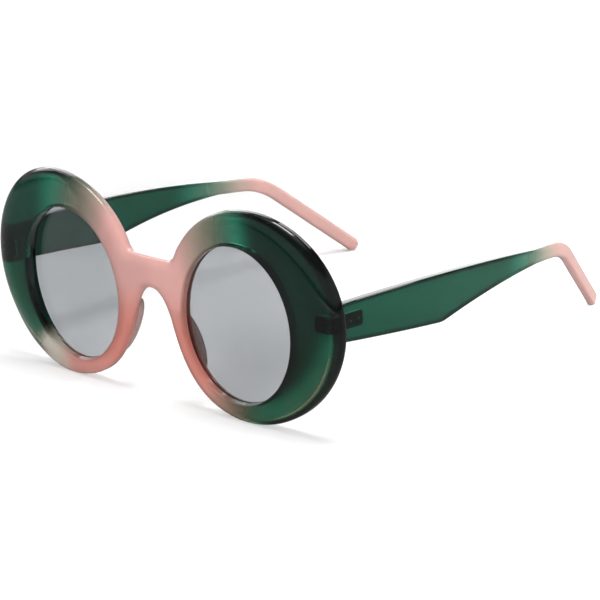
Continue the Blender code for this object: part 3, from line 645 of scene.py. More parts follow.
def pad_outer_shade(graph, base, mask, x, y, z):
    """Painted shade: a pad's outer side is darker than the side that meets the nose."""
    s, look = settings("pad"), settings("finish")
    middle = s.out + (s.up - z) * math.tan(s.lean)
    outer = graph.smooth(graph.math("ABSOLUTE", x) - middle, *PAD_SHADE_TURN)
    return graph.tint(outer * PAD_SHADE_STRENGTH, base, opaque(look.painted_pad_shade))


def pad_material():
    look = settings("finish")
    stops = [(0.0, look.pad_pink), (1.0, look.pink)]
    return polished_plastic("nose_pad_plastic", pad_mask, stops, look.pad_milkiness, pad_outer_shade)


def temple_mask(graph, x, y, z):
    """0 at the tips, 1 at the blade; the two sides differ a little."""
    left = graph.math("GREATER_THAN", x, 0.0)
    (left_middle, left_half), (right_middle, right_half) = LEFT_TEMPLE_RUN, RIGHT_TEMPLE_RUN
    middle = left * left_middle + (1 - left) * right_middle
    half = left * left_half + (1 - left) * right_half
    return (middle - y) / (2 * half) + 0.5


def temple_stops():
    look = settings("finish")
    return [(0.0, look.tip_pink), (0.36, look.beige), (0.66, look.bright_green), (1.0, look.temple_green)]


def temple_edge_shade(graph, x, y, z):
    """1 along a blade's upper edge, just under its top, and along its lower edge, where painted shade goes
    near black.
    """
    s = settings("temple")
    plane = settings("front").plane_back
    crest, start, corner = s.top_crest_back - plane, s.front_back - plane, s.corner_back - plane
    neck = s.tip_back - s.bend_before_tip - s.neck_before_bend - plane
    below = s.top_height - (y - crest) * (y - crest) / (2 * s.top_radius) - z
    upper = graph.band(below, UPPER_RISE, UPPER_FADE) * (1 - graph.smooth(y, *UPPER_ENDS))
    front_low, corner_low = s.top_height - s.front_tall, s.top_height - s.corner_tall
    ahead = front_low + (y - start) * ((corner_low - front_low) / (corner - start))
    along = graph.clamped((y - corner) / (neck - corner))
    behind = corner_low + (along * 2 - along * along) * (s.top_height - s.neck_tall - corner_low)
    above = z - graph.math("MAXIMUM", ahead, behind)
    lower = (1 - graph.smooth(above, *LOWER_FADE)) * (1 - graph.smooth(y, *LOWER_ENDS))
    return graph.math("MAXIMUM", upper, lower) * EDGE_SHADE_STRENGTH


def lens_material():
    """Clear grey plastic: one tint, with painted shade that darkens it a little towards the top, polished,
    with a faint haze.
    """
    look = settings("finish")
    made, graph = new_material("tinted_lens")
    place = graph.place()
    haze = graph.noise(place, HAZE_SCALE)
    base = graph.tint(haze * HAZE_PALER, opaque(look.lens_tint), HAZE_GREY)
    height = graph.parts(place)[2]
    # Painted shade towards the lens's top
    base = graph.tint(graph.smooth(height, *LENS_HEIGHTS) * LENS_SHADE, base, BLACK)
    shader = graph.add(
        "ShaderNodeBsdfPrincipled", None,
        {
            "Base Color": base,
            "Roughness": haze * HAZE_ROUGHER,
            "IOR": LENS_IOR,
            "Transmission Weight": 1.0,
        },
    )
    finish_material(graph, shader)
    return made


def steel_material():
    """Satin steel with fine drawn lines along the plates."""
    look = settings("finish")
    made, graph = new_material("satin_steel")
    stretch = graph.add("ShaderNodeMapping", None, {"Vector": graph.place(), "Scale": DRAWN_SCALE})
    lines = graph.noise(stretch, 1.0, 3.0)
    base = graph.tint(lines * DRAWN_DARKER, opaque(look.steel), STEEL_SHADE)
    bump = graph.add("ShaderNodeBump", None, {"Strength": 0.15, "Distance": DRAWN_DEPTH, "Height": lines})
    shader = graph.add(
        "ShaderNodeBsdfPrincipled", None,
        {
            "Base Color": base,
            "Roughness": STEEL_ROUGHNESS + lines * DRAWN_ROUGHER,
            "Metallic": 1.0,
            "Normal": bump,
        },
    )
    finish_material(graph, shader)
    return made


# Meshes


def add_mesh(name, bm, finish, sharp_degrees=PLASTIC_SHARP):
    """A finished object at the origin whose closed surface faces out."""
    bmesh.ops.recalc_face_normals(bm, faces=bm.faces)
    if bm.calc_volume(signed=True) < 0:
        bmesh.ops.reverse_faces(bm, faces=bm.faces)
    mesh = bpy.data.meshes.new(name)
    bm.to_mesh(mesh)
    bm.free()
    obj = bpy.data.objects.new(name, mesh)
    bpy.context.scene.collection.objects.link(obj)
    mesh.materials.append(finish)
    shade(mesh, sharp_degrees)
    return obj


def shade(mesh, sharp_degrees):
    mesh.shade_smooth()
    mesh.set_sharp_from_angle(angle=math.radians(sharp_degrees))


def evaluated_copy(obj, name):
    """A plain mesh object of what obj's modifiers make; obj is removed."""
    depsgraph = bpy.context.evaluated_depsgraph_get()
    mesh = bpy.data.meshes.new_from_object(obj.evaluated_get(depsgraph))
    bpy.data.objects.remove(obj)
    mesh.name = name
    made = bpy.data.objects.new(name, mesh)
    bpy.context.scene.collection.objects.link(made)
    return made


def loft(rings, wrap=False):
    """Quads between rings of points; wrap joins the last ring to the first, otherwise the ends are capped."""
    bm = bmesh.new()
    rows = [[bm.verts.new(point) for point in ring] for ring in rings]
    pairs = list(zip(rows, rows[1:])) + ([(rows[-1], rows[0])] if wrap else [])
    for first, second in pairs:
        for i in range(len(first)):
            j = (i + 1) % len(first)
            bm.faces.new((first[i], first[j], second[j], second[i]))
    if not wrap:
        bm.faces.new(list(reversed(rows[0])))
        bm.faces.new(rows[-1])
    return bm


def cut(obj, cutters):
    """Cuts closed shapes out of obj and returns the plain result."""
    tools = []
    for index, bm in enumerate(cutters):
        mesh = bpy.data.meshes.new(f"cutter_{index}")
        bm.to_mesh(mesh)
        bm.free()
        tool = bpy.data.objects.new(mesh.name, mesh)
        bpy.context.scene.collection.objects.link(tool)
        tools.append(tool)
        modifier = obj.modifiers.new(mesh.name, "BOOLEAN")
        modifier.operation = "DIFFERENCE"
        modifier.solver = "EXACT"
        modifier.object = tool
    made = evaluated_copy(obj, obj.name)
    for tool in tools:
        bpy.data.objects.remove(tool)
    return made


def rounded_box(low, high, corner, axis):
    """A box between two corners, its edges along one axis rounded."""
    bm = bmesh.new()
    size = [b - a for a, b in zip(low, high)]
    middle = [(a + b) / 2 for a, b in zip(low, high)]
    bmesh.ops.create_cube(bm, size=1.0, matrix=Matrix.Translation(middle) @ Matrix.Diagonal((*size, 1.0)))
    edges = [e for e in bm.edges if abs((e.verts[0].co - e.verts[1].co)[axis]) > corner / 2]
    bmesh.ops.bevel(bm, geom=edges, offset=corner, segments=6, affect="EDGES", profile=0.5)
    return bm


def move(bm, place):
    bmesh.ops.transform(bm, matrix=place, verts=bm.verts)
    return bm


def mirrored(bm):
    """The mirror image of a shape across the bridge's middle, still facing out."""
    bmesh.ops.transform(bm, matrix=Matrix.Diagonal((-1.0, 1.0, 1.0, 1.0)), verts=bm.verts)
    bmesh.ops.reverse_faces(bm, faces=bm.faces)
    return bm


# The front's form

# Where a rounded edge has its points, in degrees
OPENING_ARC = (0, 18, 36, 54, 72, 90)
SHOULDER_ARC = (0, 8, 16, 25, 34, 43, 52, 60, 68, 75, 81, 86, 90)
BACK_ARC = (0, 15, 30, 45, 60, 75, 90)
OPENING_BACK_ARC = (90, 60, 30, 0)
TIP_ARC = (10, 20, 30, 40, 50, 58, 66, 73, 79, 84, 88)

# Where a flat stretch has its rows of points, as shares of the way over it
FLAT_ROWS = (0.2, 0.4, 0.6, 0.8)
SIDE_ROWS = (0.12, 0.5, 0.88)
LIP_ROWS = (0.15, 0.85)
BRIDGE_ROWS = (0.42, 0.50, 0.58)
# How close to an edge a flat stretch has its first row: a distance, and the most as a share of the way
EDGE_ROW = 0.0004
EDGE_ROW_MOST = 0.15

# The most of a rim's width that its shoulder takes
SHOULDER_MOST = 0.62
# The wall that is left straight between the front's rounded edges, at the least
STRAIGHT_LEAST = 0.0002
# How far the rows beside the groove's lip and behind an opening's edge stand off
LIP_ROW = 0.0002
OPENING_ROW = 0.0003
# Over what height the back's edge is eased beside the nose, and how far up a rim that starts
NOSE_FADE = 0.010
NOSE_START = 0.7
# How squarely an edge has to face the nose for that
NOSE_FACING, NOSE_FACING_LEAST = 2.0, 0.6
# How much the rows down the nose side crowd towards the rim
NOSE_CROWDING = 0.93
# Sections along half of the bridge's top, and round its fillet
BRIDGE_STEPS = 6
FILLET_STEPS = 12
# Between which turns a rim meets the height of the bridge's top, in degrees, and in how many halvings
CORNER_TURNS = (150, 270)
HALVINGS = 40
# How close points count as one, and how close to the mirror plane they count as on it
SAME_POINT = 2e-6
MIRROR_SEAM = 2e-5
ON_MIRROR = 1e-5


def spread(low, high, count):
    """Evenly spaced values from low to high, both included."""
    return [low + (high - low) * k / (count - 1) for k in range(count)]


class FrontForm:
    """The front's curves and sections."""

    def __init__(self):
        self.s = settings("front")
        self.lens = settings("lens")
        s = self.s
        self.rim_end = s.rim_out + math.hypot(
            s.rim_half_short * math.cos(s.rim_lean), s.rim_half_long * math.sin(s.rim_lean)
        )

    def world(self, u, depth, w):
        """A place on the front as a point in the world; nothing reaches under the table."""
        lean = self.s.lean
        y = depth * math.cos(lean) - w * math.sin(lean) - self.s.plane_back
        return Vector((u, y, max(depth * math.sin(lean) + w * math.cos(lean), 0.0)))

    def face(self, u):
        return u * u / (2 * self.s.wrap_radius)

    def back(self, u):
        s = self.s
        grown = max(abs(u) - s.wall_grows_from, 0.0) / (self.rim_end - s.wall_grows_from)
        scoop = math.cos(math.pi / 2 * min(abs(u) / s.scoop_reach, 1.0)) ** 2
        return self.face(u) + s.wall + (s.end_wall - s.wall) * grown**2 - s.scoop * scoop

    def lens_face(self, u):
        s = self.s
        inner = s.opening_out - s.opening_half_width
        outer = s.opening_out + s.opening_half_width
        at_inner = self.face(inner) + self.lens.inset_nose
        at_outer = self.face(outer) + self.lens.inset_end
        chord = at_inner + (at_outer - at_inner) * (abs(u) - inner) / (outer - inner)
        bow = s.opening_half_width**2 - (abs(u) - s.opening_out) ** 2
        return chord - bow / (2 * self.lens.radius)

    def opening_turn(self, u, w):
        s = self.s
        du, dw = u - s.opening_out, w - s.opening_up
        across = du * math.cos(s.opening_lean) - dw * math.sin(s.opening_lean)
        up = du * math.sin(s.opening_lean) + dw * math.cos(s.opening_lean)
        return math.atan2(up / s.opening_half_height, across / s.opening_half_width)

    def opening(self, turn, grow):
        s = self.s
        across = (s.opening_half_width + grow) * math.cos(turn)
        up = (s.opening_half_height + grow) * math.sin(turn)
        u = s.opening_out + across * math.cos(s.opening_lean) + up * math.sin(s.opening_lean)
        return u, s.opening_up - across * math.sin(s.opening_lean) + up * math.cos(s.opening_lean)

    def rim(self, turn):
        s = self.s
        across, up = s.rim_half_short * math.cos(turn), s.rim_half_long * math.sin(turn)
        return Vector((
            s.rim_out + across * math.cos(s.rim_lean) + up * math.sin(s.rim_lean),
            s.rim_up - across * math.sin(s.rim_lean) + up * math.cos(s.rim_lean),
        ))

    def corner_turn(self):
        """Where a rim's ellipse meets the height of the bridge's top."""
        low, high = (math.radians(degrees) for degrees in CORNER_TURNS)
        for _ in range(HALVINGS):
            middle = (low + high) / 2
            if self.rim(middle).y > self.s.bridge_top:
                low = middle
            else:
                high = middle
        return low

    def outline(self):
        """The left half's outline from the bridge's top clockwise to the arch: (u, w, outward normal)."""
        s = self.s
        corner_turn = self.corner_turn()
        corner = self.rim(corner_turn)
        leave_turn = corner_turn - s.bridge_fillet / s.rim_half_short
        start = Vector((corner.x - s.bridge_fillet, s.bridge_top))
        leave = self.rim(leave_turn)
        path = [Vector((start.x * k / BRIDGE_STEPS, s.bridge_top)) for k in range(BRIDGE_STEPS)]
        for t in spread(0.0, 1.0, FILLET_STEPS):
            path.append(start * (1 - t) ** 2 + corner * (2 * t * (1 - t)) + leave * t * t)
        join_turn = s.nose_join - math.tau
        for turn in spread(leave_turn, join_turn, s.rim_steps + 1)[1:]:
            path.append(self.rim(turn))
        join = path[-1]
        along = (join - path[-2]).normalized() * s.nose_reach
        arch = Vector((0.0, s.arch_top))
        for step in spread(0.0, 1.0, s.nose_steps + 1)[1:]:
            t = step**NOSE_CROWDING
            first = join * (1 - t) ** 3 + (join + along) * (3 * t * (1 - t) ** 2)
            path.append(first + (arch + Vector((s.arch_reach, 0.0))) * (3 * t * t * (1 - t)) + arch * t**3)
        points = []
        for index, point in enumerate(path):
            if index == 0:
                normal = Vector((0.0, 1.0))
            elif index == len(path) - 1:
                normal = Vector((0.0, -1.0))
            else:
                before, after = point - path[index - 1], path[index + 1] - point
                run = (after / after.length**2 + before / before.length**2).normalized()
                normal = Vector((-run.y, run.x))
            points.append((point.x, point.y, normal))
        return points

    def shoulder(self, u):
        s = self.s
        inner = min(abs(u) / s.rim_out, 1.0)
        outer = max(abs(u) - s.rim_out, 0.0) / (self.rim_end - s.rim_out)
        width = s.bridge_shoulder + (s.crown_shoulder - s.bridge_shoulder) * inner
        width += (s.end_shoulder - s.crown_shoulder) * outer
        return width, s.crown_drop + (s.end_drop - s.crown_drop) * outer

    def nose_side(self, w, normal):
        """1 beside the nose, where the back's edge is eased, and 0 elsewhere."""
        fade = (self.s.rim_up + self.s.rim_half_short * NOSE_START - w) / NOSE_FADE
        facing = -normal.x * NOSE_FACING - NOSE_FACING_LEAST
        return max(0.0, min(1.0, facing)) * max(0.0, min(1.0, fade))

    def section(self, u, w, normal, on_plane=False):
        """One closed section, from the groove out over the face and the back: points as (u, depth, w)."""
        s, lens = self.s, self.lens
        turn = self.opening_turn(u, w)
        near_u, near_w = self.opening(turn, 0.0)
        width = math.hypot(u - near_u, w - near_w)
        shoulder, drop = self.shoulder(u)
        if shoulder > width * SHOULDER_MOST:
            drop *= width * SHOULDER_MOST / shoulder
            shoulder = width * SHOULDER_MOST
        ease = s.back_edge + (s.nose_edge - s.back_edge) * self.nose_side(w, normal)
        ease = min(ease, self.back(u) - self.face(u) - drop - STRAIGHT_LEAST)
        up_bridge = min(max((w - s.arch_top) / (s.bridge_top - s.arch_top), 0.0), 1.0)
        lift = s.arch_lift * max(1.0 - abs(u) / s.arch_lift_reach, 0.0) ** 2 * (1.0 - up_bridge)

        def at_opening(grow, depth_of, extra):
            point_u, point_w = self.opening(turn, grow)
            return point_u, depth_of(point_u) + extra, point_w

        def inset(distance):
            if on_plane:
                return 0.0, w
            return u - normal.x * distance, w - normal.y * distance

        def between(share_out, first, second, depth_of):
            """A point on the way across; near the arch the way bows up, so that neighbours don't cross."""
            point_u = first[0] + (second[0] - first[0]) * share_out
            point_w = first[2] + (second[2] - first[2]) * share_out
            return point_u, depth_of(point_u), point_w + lift * 4 * share_out * (1 - share_out)

        def flat_rows(flat_width):
            margin = min(EDGE_ROW / max(flat_width, EDGE_ROW), EDGE_ROW_MOST)
            return (margin, *FLAT_ROWS, 1.0 - margin)

        deep = lens.in_groove + lens.groove_gap
        front_lip = -lens.groove_gap
        back_lip = lens.thickness + lens.groove_gap
        section = [at_opening(deep, self.lens_face, front_lip), at_opening(0.0, self.lens_face, front_lip)]
        section.append(at_opening(0.0, self.lens_face, front_lip - LIP_ROW))
        section.append(at_opening(0.0, self.face, s.opening_edge + OPENING_ROW))
        for degrees in OPENING_ARC:
            turned = math.radians(degrees)
            grow = s.opening_edge * (1 - math.cos(turned))
            section.append(at_opening(grow, self.face, s.opening_edge * (1 - math.sin(turned))))
        start = section[-1]
        end_u, end_w = inset(shoulder)
        end = (end_u, self.face(end_u), end_w)
        for share_out in flat_rows(width - shoulder - s.opening_edge):
            section.append(between(share_out, start, end, self.face))
        for degrees in SHOULDER_ARC:
            turned = math.radians(degrees)
            point_u, point_w = inset(shoulder * (1 - math.sin(turned)))
            section.append((point_u, self.face(point_u) + drop * (1 - math.cos(turned)), point_w))
        side_top = section[-1]
        side_end = (u, self.back(u) - ease, w)
        for share_out in SIDE_ROWS:
            depth = side_top[1] + (side_end[1] - side_top[1]) * share_out
            section.append((side_top[0], depth, side_top[2]))
        for degrees in BACK_ARC:
            turned = math.radians(degrees)
            point_u, point_w = inset(ease * (1 - math.cos(turned)))
            section.append((point_u, self.back(point_u) - ease * (1 - math.sin(turned)), point_w))
        start = section[-1]
        end = at_opening(s.opening_back_edge, self.back, 0.0)
        for share_out in flat_rows(math.hypot(end[0] - start[0], end[2] - start[2])):
            section.append(between(share_out, start, end, self.back))
        for degrees in OPENING_BACK_ARC:
            turned = math.radians(degrees)
            grow = s.opening_back_edge * (1 - math.cos(turned))
            section.append(at_opening(grow, self.back, -s.opening_back_edge * (1 - math.sin(turned))))
        edge, lip = section[-1], at_opening(0.0, self.lens_face, back_lip)
        for share_in in LIP_ROWS:
            section.append((edge[0], edge[1] + (lip[1] - edge[1]) * share_in, edge[2]))
        section += [lip, at_opening(deep, self.lens_face, back_lip)]
        return section

    def mesh(self):
        """The whole front: the left half's sections, joined through the mirror plane, and the right half."""
        s = self.s
        points = self.outline()
        sections = [self.section(*point) for point in points]
        for share_up in BRIDGE_ROWS:
            w = s.arch_top + (s.bridge_top - s.arch_top) * share_up
            sections.append(self.section(0.0, w, Vector((0.0, 0.0)), True))
        rings = [[self.world(*point) for point in section] for section in sections]
        bm = loft(rings, wrap=True)
        middle = [f for f in bm.faces if all(abs(v.co.x) < ON_MIRROR for v in f.verts)]
        bmesh.ops.delete(bm, geom=middle, context="FACES")
        loose = [v for v in bm.verts if not v.link_faces]
        bmesh.ops.delete(bm, geom=loose, context="VERTS")
        whole = bm.verts[:] + bm.edges[:] + bm.faces[:]
        bmesh.ops.mirror(bm, geom=whole, matrix=Matrix.Identity(4), merge_dist=MIRROR_SEAM, axis="X")
        bmesh.ops.remove_doubles(bm, verts=bm.verts, dist=SAME_POINT)
        return bm


# The temples' form

# How the lower corner is rounded: the samples that are averaged, how far from the corner they are, in
# softening lengths, and where the blade's even steps end beside it
SOFTEN_SAMPLES = 9
SOFTEN_WITHIN = 1.2
EVEN_WITHIN = 1.5
SOFTEN_STEPS = 11
# Points round a corner of a temple's section, and how close beside it the next point is, as a share
CORNER_POINTS = 9
BESIDE_CORNER = 0.5
# Sections from the blade to the bend, and from there to the tip
NECK_STEPS = 8
ARM_STEPS = 12


class TempleForm:
    """The left temple's sections, in the world; the right one is its mirror image."""

    def __init__(self, front):
        self.s = settings("temple")
        self.front = front
        s = self.s
        self.widest = front.rim_end + s.bow_out
        self.bend = Vector((
            self.widest - s.bend_draw_in, s.tip_back - s.bend_before_tip, s.top_height - s.bend_drop
        ))
        self.tip = Vector((self.bend.x - s.tip_draw_in, s.tip_back, s.tip_height))
        self.neck_back = self.bend.y - s.neck_before_bend

    def outer_x(self, back):
        return self.widest - (back - self.s.widest_back) ** 2 / (2 * self.s.bow_radius)

    def top(self, back):
        return self.s.top_height - (back - self.s.top_crest_back) ** 2 / (2 * self.s.top_radius)

    def bottom(self, back):
        s = self.s
        front_low, corner_low = s.top_height - s.front_tall, s.top_height - s.corner_tall
        if back < s.corner_back:
            run = s.corner_back - s.front_back
            return front_low + (corner_low - front_low) * (back - s.front_back) / run
        along = min((back - s.corner_back) / (self.neck_back - s.corner_back), 1.0)
        return corner_low + (s.top_height - s.neck_tall - corner_low) * (2 * along - along**2)

    def softened_bottom(self, back):
        """The lower edge, its corner rounded by averaging over the softening length."""
        reach = self.s.corner_soften
        if abs(back - self.s.corner_back) > SOFTEN_WITHIN * reach:
            return self.bottom(back)
        samples = spread(back - reach, back + reach, SOFTEN_SAMPLES)
        return sum(self.bottom(sample) for sample in samples) / len(samples)

    def ring(self, middle, up, across, half_tall, half_thick, corner):
        """Points round a rectangle with round corners, with close points beside each corner."""
        beside = min(corner, half_tall - corner, half_thick - corner) * BESIDE_CORNER

        def on_circle(degrees, radius):
            turned = math.radians(degrees)
            return radius * math.cos(turned), radius * math.sin(turned)

        points = []
        for start, (side, level) in zip((0, 90, 180, 270), ((1, 1), (-1, 1), (-1, -1), (1, -1))):
            centre = (side * (half_thick - corner), level * (half_tall - corner))
            turns = [on_circle(degrees, corner) for degrees in spread(start, start + 90, CORNER_POINTS)]
            arc = [(centre[0] + a, centre[1] + b) for a, b in turns]
            enter, leave = on_circle(start + 90, beside), on_circle(start, beside)
            before = (arc[0][0] - enter[0], arc[0][1] - enter[1])
            after = (arc[-1][0] - leave[0], arc[-1][1] - leave[1])
            for a, b in [before, *arc, after]:
                points.append(middle + across * a + up * b)
        return points

    def stations(self):
        """Every section's middle, up and across ways, half sizes and rounding, from the hinge to the tip."""
        s = self.s
        half_thick = s.thickness / 2
        stations = []
        soft, even = SOFTEN_WITHIN * s.corner_soften, EVEN_WITHIN * s.corner_soften
        backs = spread(s.front_back, s.corner_back - even, s.blade_steps // 2)
        backs += spread(s.corner_back - soft, s.corner_back + soft, SOFTEN_STEPS)
        backs += spread(s.corner_back + even, self.neck_back, s.blade_steps // 2)
        for back in backs:
            top, bottom = self.top(back), self.softened_bottom(back)
            across = Vector((1.0, (back - s.widest_back) / s.bow_radius, 0.0)).normalized()
            middle = Vector((self.outer_x(back), back, (top + bottom) / 2)) - across * half_thick
            half_tall = (top - bottom) / 2
            stations.append((middle, Vector((0, 0, 1)), across, half_tall, half_thick, s.blade_edge))
        begin = stations[-1][0]
        first = (self.bend - begin).normalized()
        second = (self.tip - self.bend).normalized()
        enter, leave = self.bend - first * s.bend_run, self.bend + second * s.bend_run
        path = [begin.lerp(enter, k / NECK_STEPS) for k in range(1, NECK_STEPS)]
        for t in spread(0.0, 1.0, s.bend_steps):
            path.append(enter * (1 - t) ** 2 + self.bend * (2 * t * (1 - t)) + leave * t * t)
        path += [leave.lerp(self.tip, k / ARM_STEPS) for k in range(1, ARM_STEPS + 1)]
        sizes = [1.0] * len(path)
        for degrees in TIP_ARC:
            turned = math.radians(degrees)
            path.append(self.tip + second * (s.tip_round * math.sin(turned)))
            sizes.append(math.cos(turned))
        length_to_enter = (enter - begin).length
        for index, point in enumerate(path):
            before = path[index - 1] if index else begin
            after = path[min(index + 1, len(path) - 1)]
            along = (after - before).normalized()
            across = along.cross(Vector((0, 0, 1))).normalized()
            up = across.cross(along).normalized()
            settle = min((point - begin).length / length_to_enter, 1.0)
            edge = s.blade_edge + (s.arm_edge - s.blade_edge) * settle
            size = sizes[index]
            stations.append((point, up, across, s.arm_tall / 2 * size, half_thick * size, edge * size))
        return stations

    def mesh(self, side):
        """A whole temple, its front end shaped to the back of the front."""
        s = self.s
        lean = settings("front").lean
        rings = [self.ring(*station) for station in self.stations()]
        for index, point in enumerate(rings[0]):
            depth = self.front.back(point.x) + s.butt_gap
            rings[0][index] = Vector((point.x, (depth - point.z * math.sin(lean)) / math.cos(lean), point.z))
        shift = settings("front").plane_back
        bm = loft([[Vector((p.x, p.y - shift, max(p.z, 0.0))) for p in ring] for ring in rings])
        return bm if side == "left" else mirrored(bm)


class HingeForm:
    """Where the left hinge's pieces lie."""

    def __init__(self, front, temple):
        self.s = settings("hinge")
        self.front = front
        self.temple = temple
        t = temple.s
        self.u = temple.outer_x(t.front_back) - t.thickness - self.s.inset
        edge = self.u + self.s.knuckle_radius
        self.depth = front.back(edge) + self.s.swing_gap + self.s.knuckle_radius
        self.axis = front.world(self.u, self.depth, t.top_height - self.s.drop)
        self.leaf_back = front.back(self.u - self.s.inner_reach) - self.s.sunk - self.depth

    def front_pocket(self):
        s = self.s
        gap = s.pocket_gap
        low = (-s.inner_reach - gap, self.leaf_back - s.leaf_thickness - gap, -s.leaf_tall / 2 - gap)
        high = (s.outer_reach + gap, self.leaf_back + s.swing_gap + s.knuckle_radius, s.leaf_tall / 2 + gap)
        return move(rounded_box(low, high, s.leaf_corner, 1), Matrix.Translation(self.axis))

    def leaf_place(self):
        """The left temple's leaf: X outwards, Y along the temple, Z up."""
        s, t = self.s, self.temple.s
        middle = (s.temple_leaf_back - s.temple_leaf_front) / 2
        back = self.axis.y + self.front.s.plane_back + middle
        across = Vector((1.0, (back - t.widest_back) / t.bow_radius, 0.0)).normalized()
        along = Vector((-across.y, across.x, 0.0))
        inner = self.temple.outer_x(back) - t.thickness * across.x - self.u
        turn = Matrix((across, along, (0.0, 0.0, 1.0))).transposed().to_4x4()
        return Matrix.Translation(self.axis + Vector((inner, middle, 0.0))) @ turn, middle

    def temple_pocket(self):
        s = self.s
        place, middle = self.leaf_place()
        gap = s.pocket_gap
        half_long = s.temple_leaf_back - middle
        low = (-s.knuckle_radius, -half_long - s.knuckle_radius * 2, -s.temple_leaf_tall / 2 - gap)
        high = (s.leaf_thickness + gap, half_long + gap, s.temple_leaf_tall / 2 + gap)
        return move(rounded_box(low, high, s.leaf_corner, 0), place)

    def front_rivets(self):
        """Heads' places and the way in, on the left."""
        s = self.s
        for level in (1, -1):
            offset = Vector((s.front_rivet_out, self.leaf_back, level * s.front_rivet_pitch / 2))
            yield self.axis + offset, Vector((0.0, -1.0, 0.0))

    def temple_rivets(self):
        """Heads' places and the way in, on the left."""
        s = self.s
        place, middle = self.leaf_place()
        outward = (place.to_3x3() @ Vector((1.0, 0.0, 0.0))).normalized()
        for index in (0, 1):
            along = s.temple_rivet_first + index * s.temple_rivet_pitch - middle
            yield place @ Vector((0.0, along, 0.0)), outward


# Geometry Nodes

# How much the lens's rings crowd towards its edge
RING_CROWDING = 0.75
# How close points of a tree's mesh count as one
SAME_TREE_POINT = 0.000001
# Points round a fixing's head and round its shank
HEAD_SIDES = 40
SHANK_SIDES = 28
# The bevelled part of a head, and how far its parts reach into each other, as shares of its height
CROWN_SHARE = 0.3
OVERLAP_SHARE = 0.25


def geometry_graph(name, inputs):
    """A Geometry Nodes tree with named inputs: its graph, the incoming geometry and the inputs by name."""
    tree = bpy.data.node_groups.new(name, "GeometryNodeTree")
    tree.interface.new_socket("Geometry", in_out="INPUT", socket_type="NodeSocketGeometry")
    for label, (kind, default) in inputs.items():
        made = tree.interface.new_socket(label, in_out="INPUT", socket_type=kind)
        made.default_value = default
    tree.interface.new_socket("Geometry", in_out="OUTPUT", socket_type="NodeSocketGeometry")
    graph = Graph(tree)
    group_in = tree.nodes.new("NodeGroupInput")
    sockets = {label: Value(graph, group_in.outputs[label]) for label in inputs}
    return graph, Value(graph, group_in.outputs["Geometry"]), sockets


def close_geometry(graph, geometry, finish):
    """Ends a tree in Realize Instances and Set Material."""
    real = graph.add("GeometryNodeRealizeInstances", None, {"Geometry": geometry})
    painted = graph.add("GeometryNodeSetMaterial", None, {"Geometry": real, "Material": finish})
    graph.tree.links.new(painted.socket, graph.tree.nodes.new("NodeGroupOutput").inputs["Geometry"])
    return graph.tree


def use_tree(obj, tree, values):
    """Puts a tree on an object and sets its named inputs, by their sockets' identifiers."""
    modifier = obj.modifiers.new(tree.name, "NODES")
    modifier.node_group = tree
    for item in tree.interface.items_tree:
        if item.in_out == "INPUT" and item.name in values:
            modifier[item.identifier] = values[item.name]


def lens_tree(finish):
    """A lens's curved sheet: a polar grid laid on the opening's leaning ellipse and on the lens's arc."""
    number, whole = "NodeSocketFloat", "NodeSocketInt"
    graph, _, value = geometry_graph("lens_sheet", {
        "Side": (number, 1.0), "Out": (number, 0.0), "Up": (number, 0.0), "Half Width": (number, 0.0),
        "Half Height": (number, 0.0), "Lean": (number, 0.0), "In Groove": (number, 0.0),
        "Depth Inner": (number, 0.0), "Depth Outer": (number, 0.0), "Radius": (number, 0.0),
        "Front Lean": (number, 0.0), "Plane": (number, 0.0), "Turns": (whole, 3), "Rings": (whole, 3),
    })
    grid = graph.add("GeometryNodeMeshGrid", None, {
        "Size X": 1.0, "Size Y": 1.0, "Vertices X": value["Rings"], "Vertices Y": value["Turns"] + 1,
    })
    x, y, _ = graph.parts(graph.add("GeometryNodeInputPosition"))
    out = graph.math("POWER", x + 0.5, RING_CROWDING)
    turn = (y + 0.5) * math.tau
    across = (value["Half Width"] + value["In Groove"]) * out * graph.math("COSINE", turn)
    up = (value["Half Height"] + value["In Groove"]) * out * graph.math("SINE", turn)
    lean_cos, lean_sin = graph.math("COSINE", value["Lean"]), graph.math("SINE", value["Lean"])
    u = value["Out"] + across * lean_cos + up * lean_sin
    w = value["Up"] - across * lean_sin + up * lean_cos
    inner = value["Out"] - value["Half Width"]
    chord = value["Depth Inner"] + (value["Depth Outer"] - value["Depth Inner"]) * (u - inner) / (
        value["Half Width"] * 2
    )
    bow = value["Half Width"] * value["Half Width"] - (u - value["Out"]) * (u - value["Out"])
    depth = chord - bow / (value["Radius"] * 2)
    cosine, sine = graph.math("COSINE", value["Front Lean"]), graph.math("SINE", value["Front Lean"])
    place = graph.add("ShaderNodeCombineXYZ", None, {
        0: u * value["Side"], 1: depth * cosine - w * sine - value["Plane"], 2: depth * sine + w * cosine,
    })
    sheet = graph.add("GeometryNodeSetPosition", None, {"Geometry": grid, "Position": place})
    sheet = graph.add("GeometryNodeMergeByDistance", None, {
        "Geometry": sheet, "Distance": SAME_TREE_POINT,
    })
    return close_geometry(graph, sheet, finish)


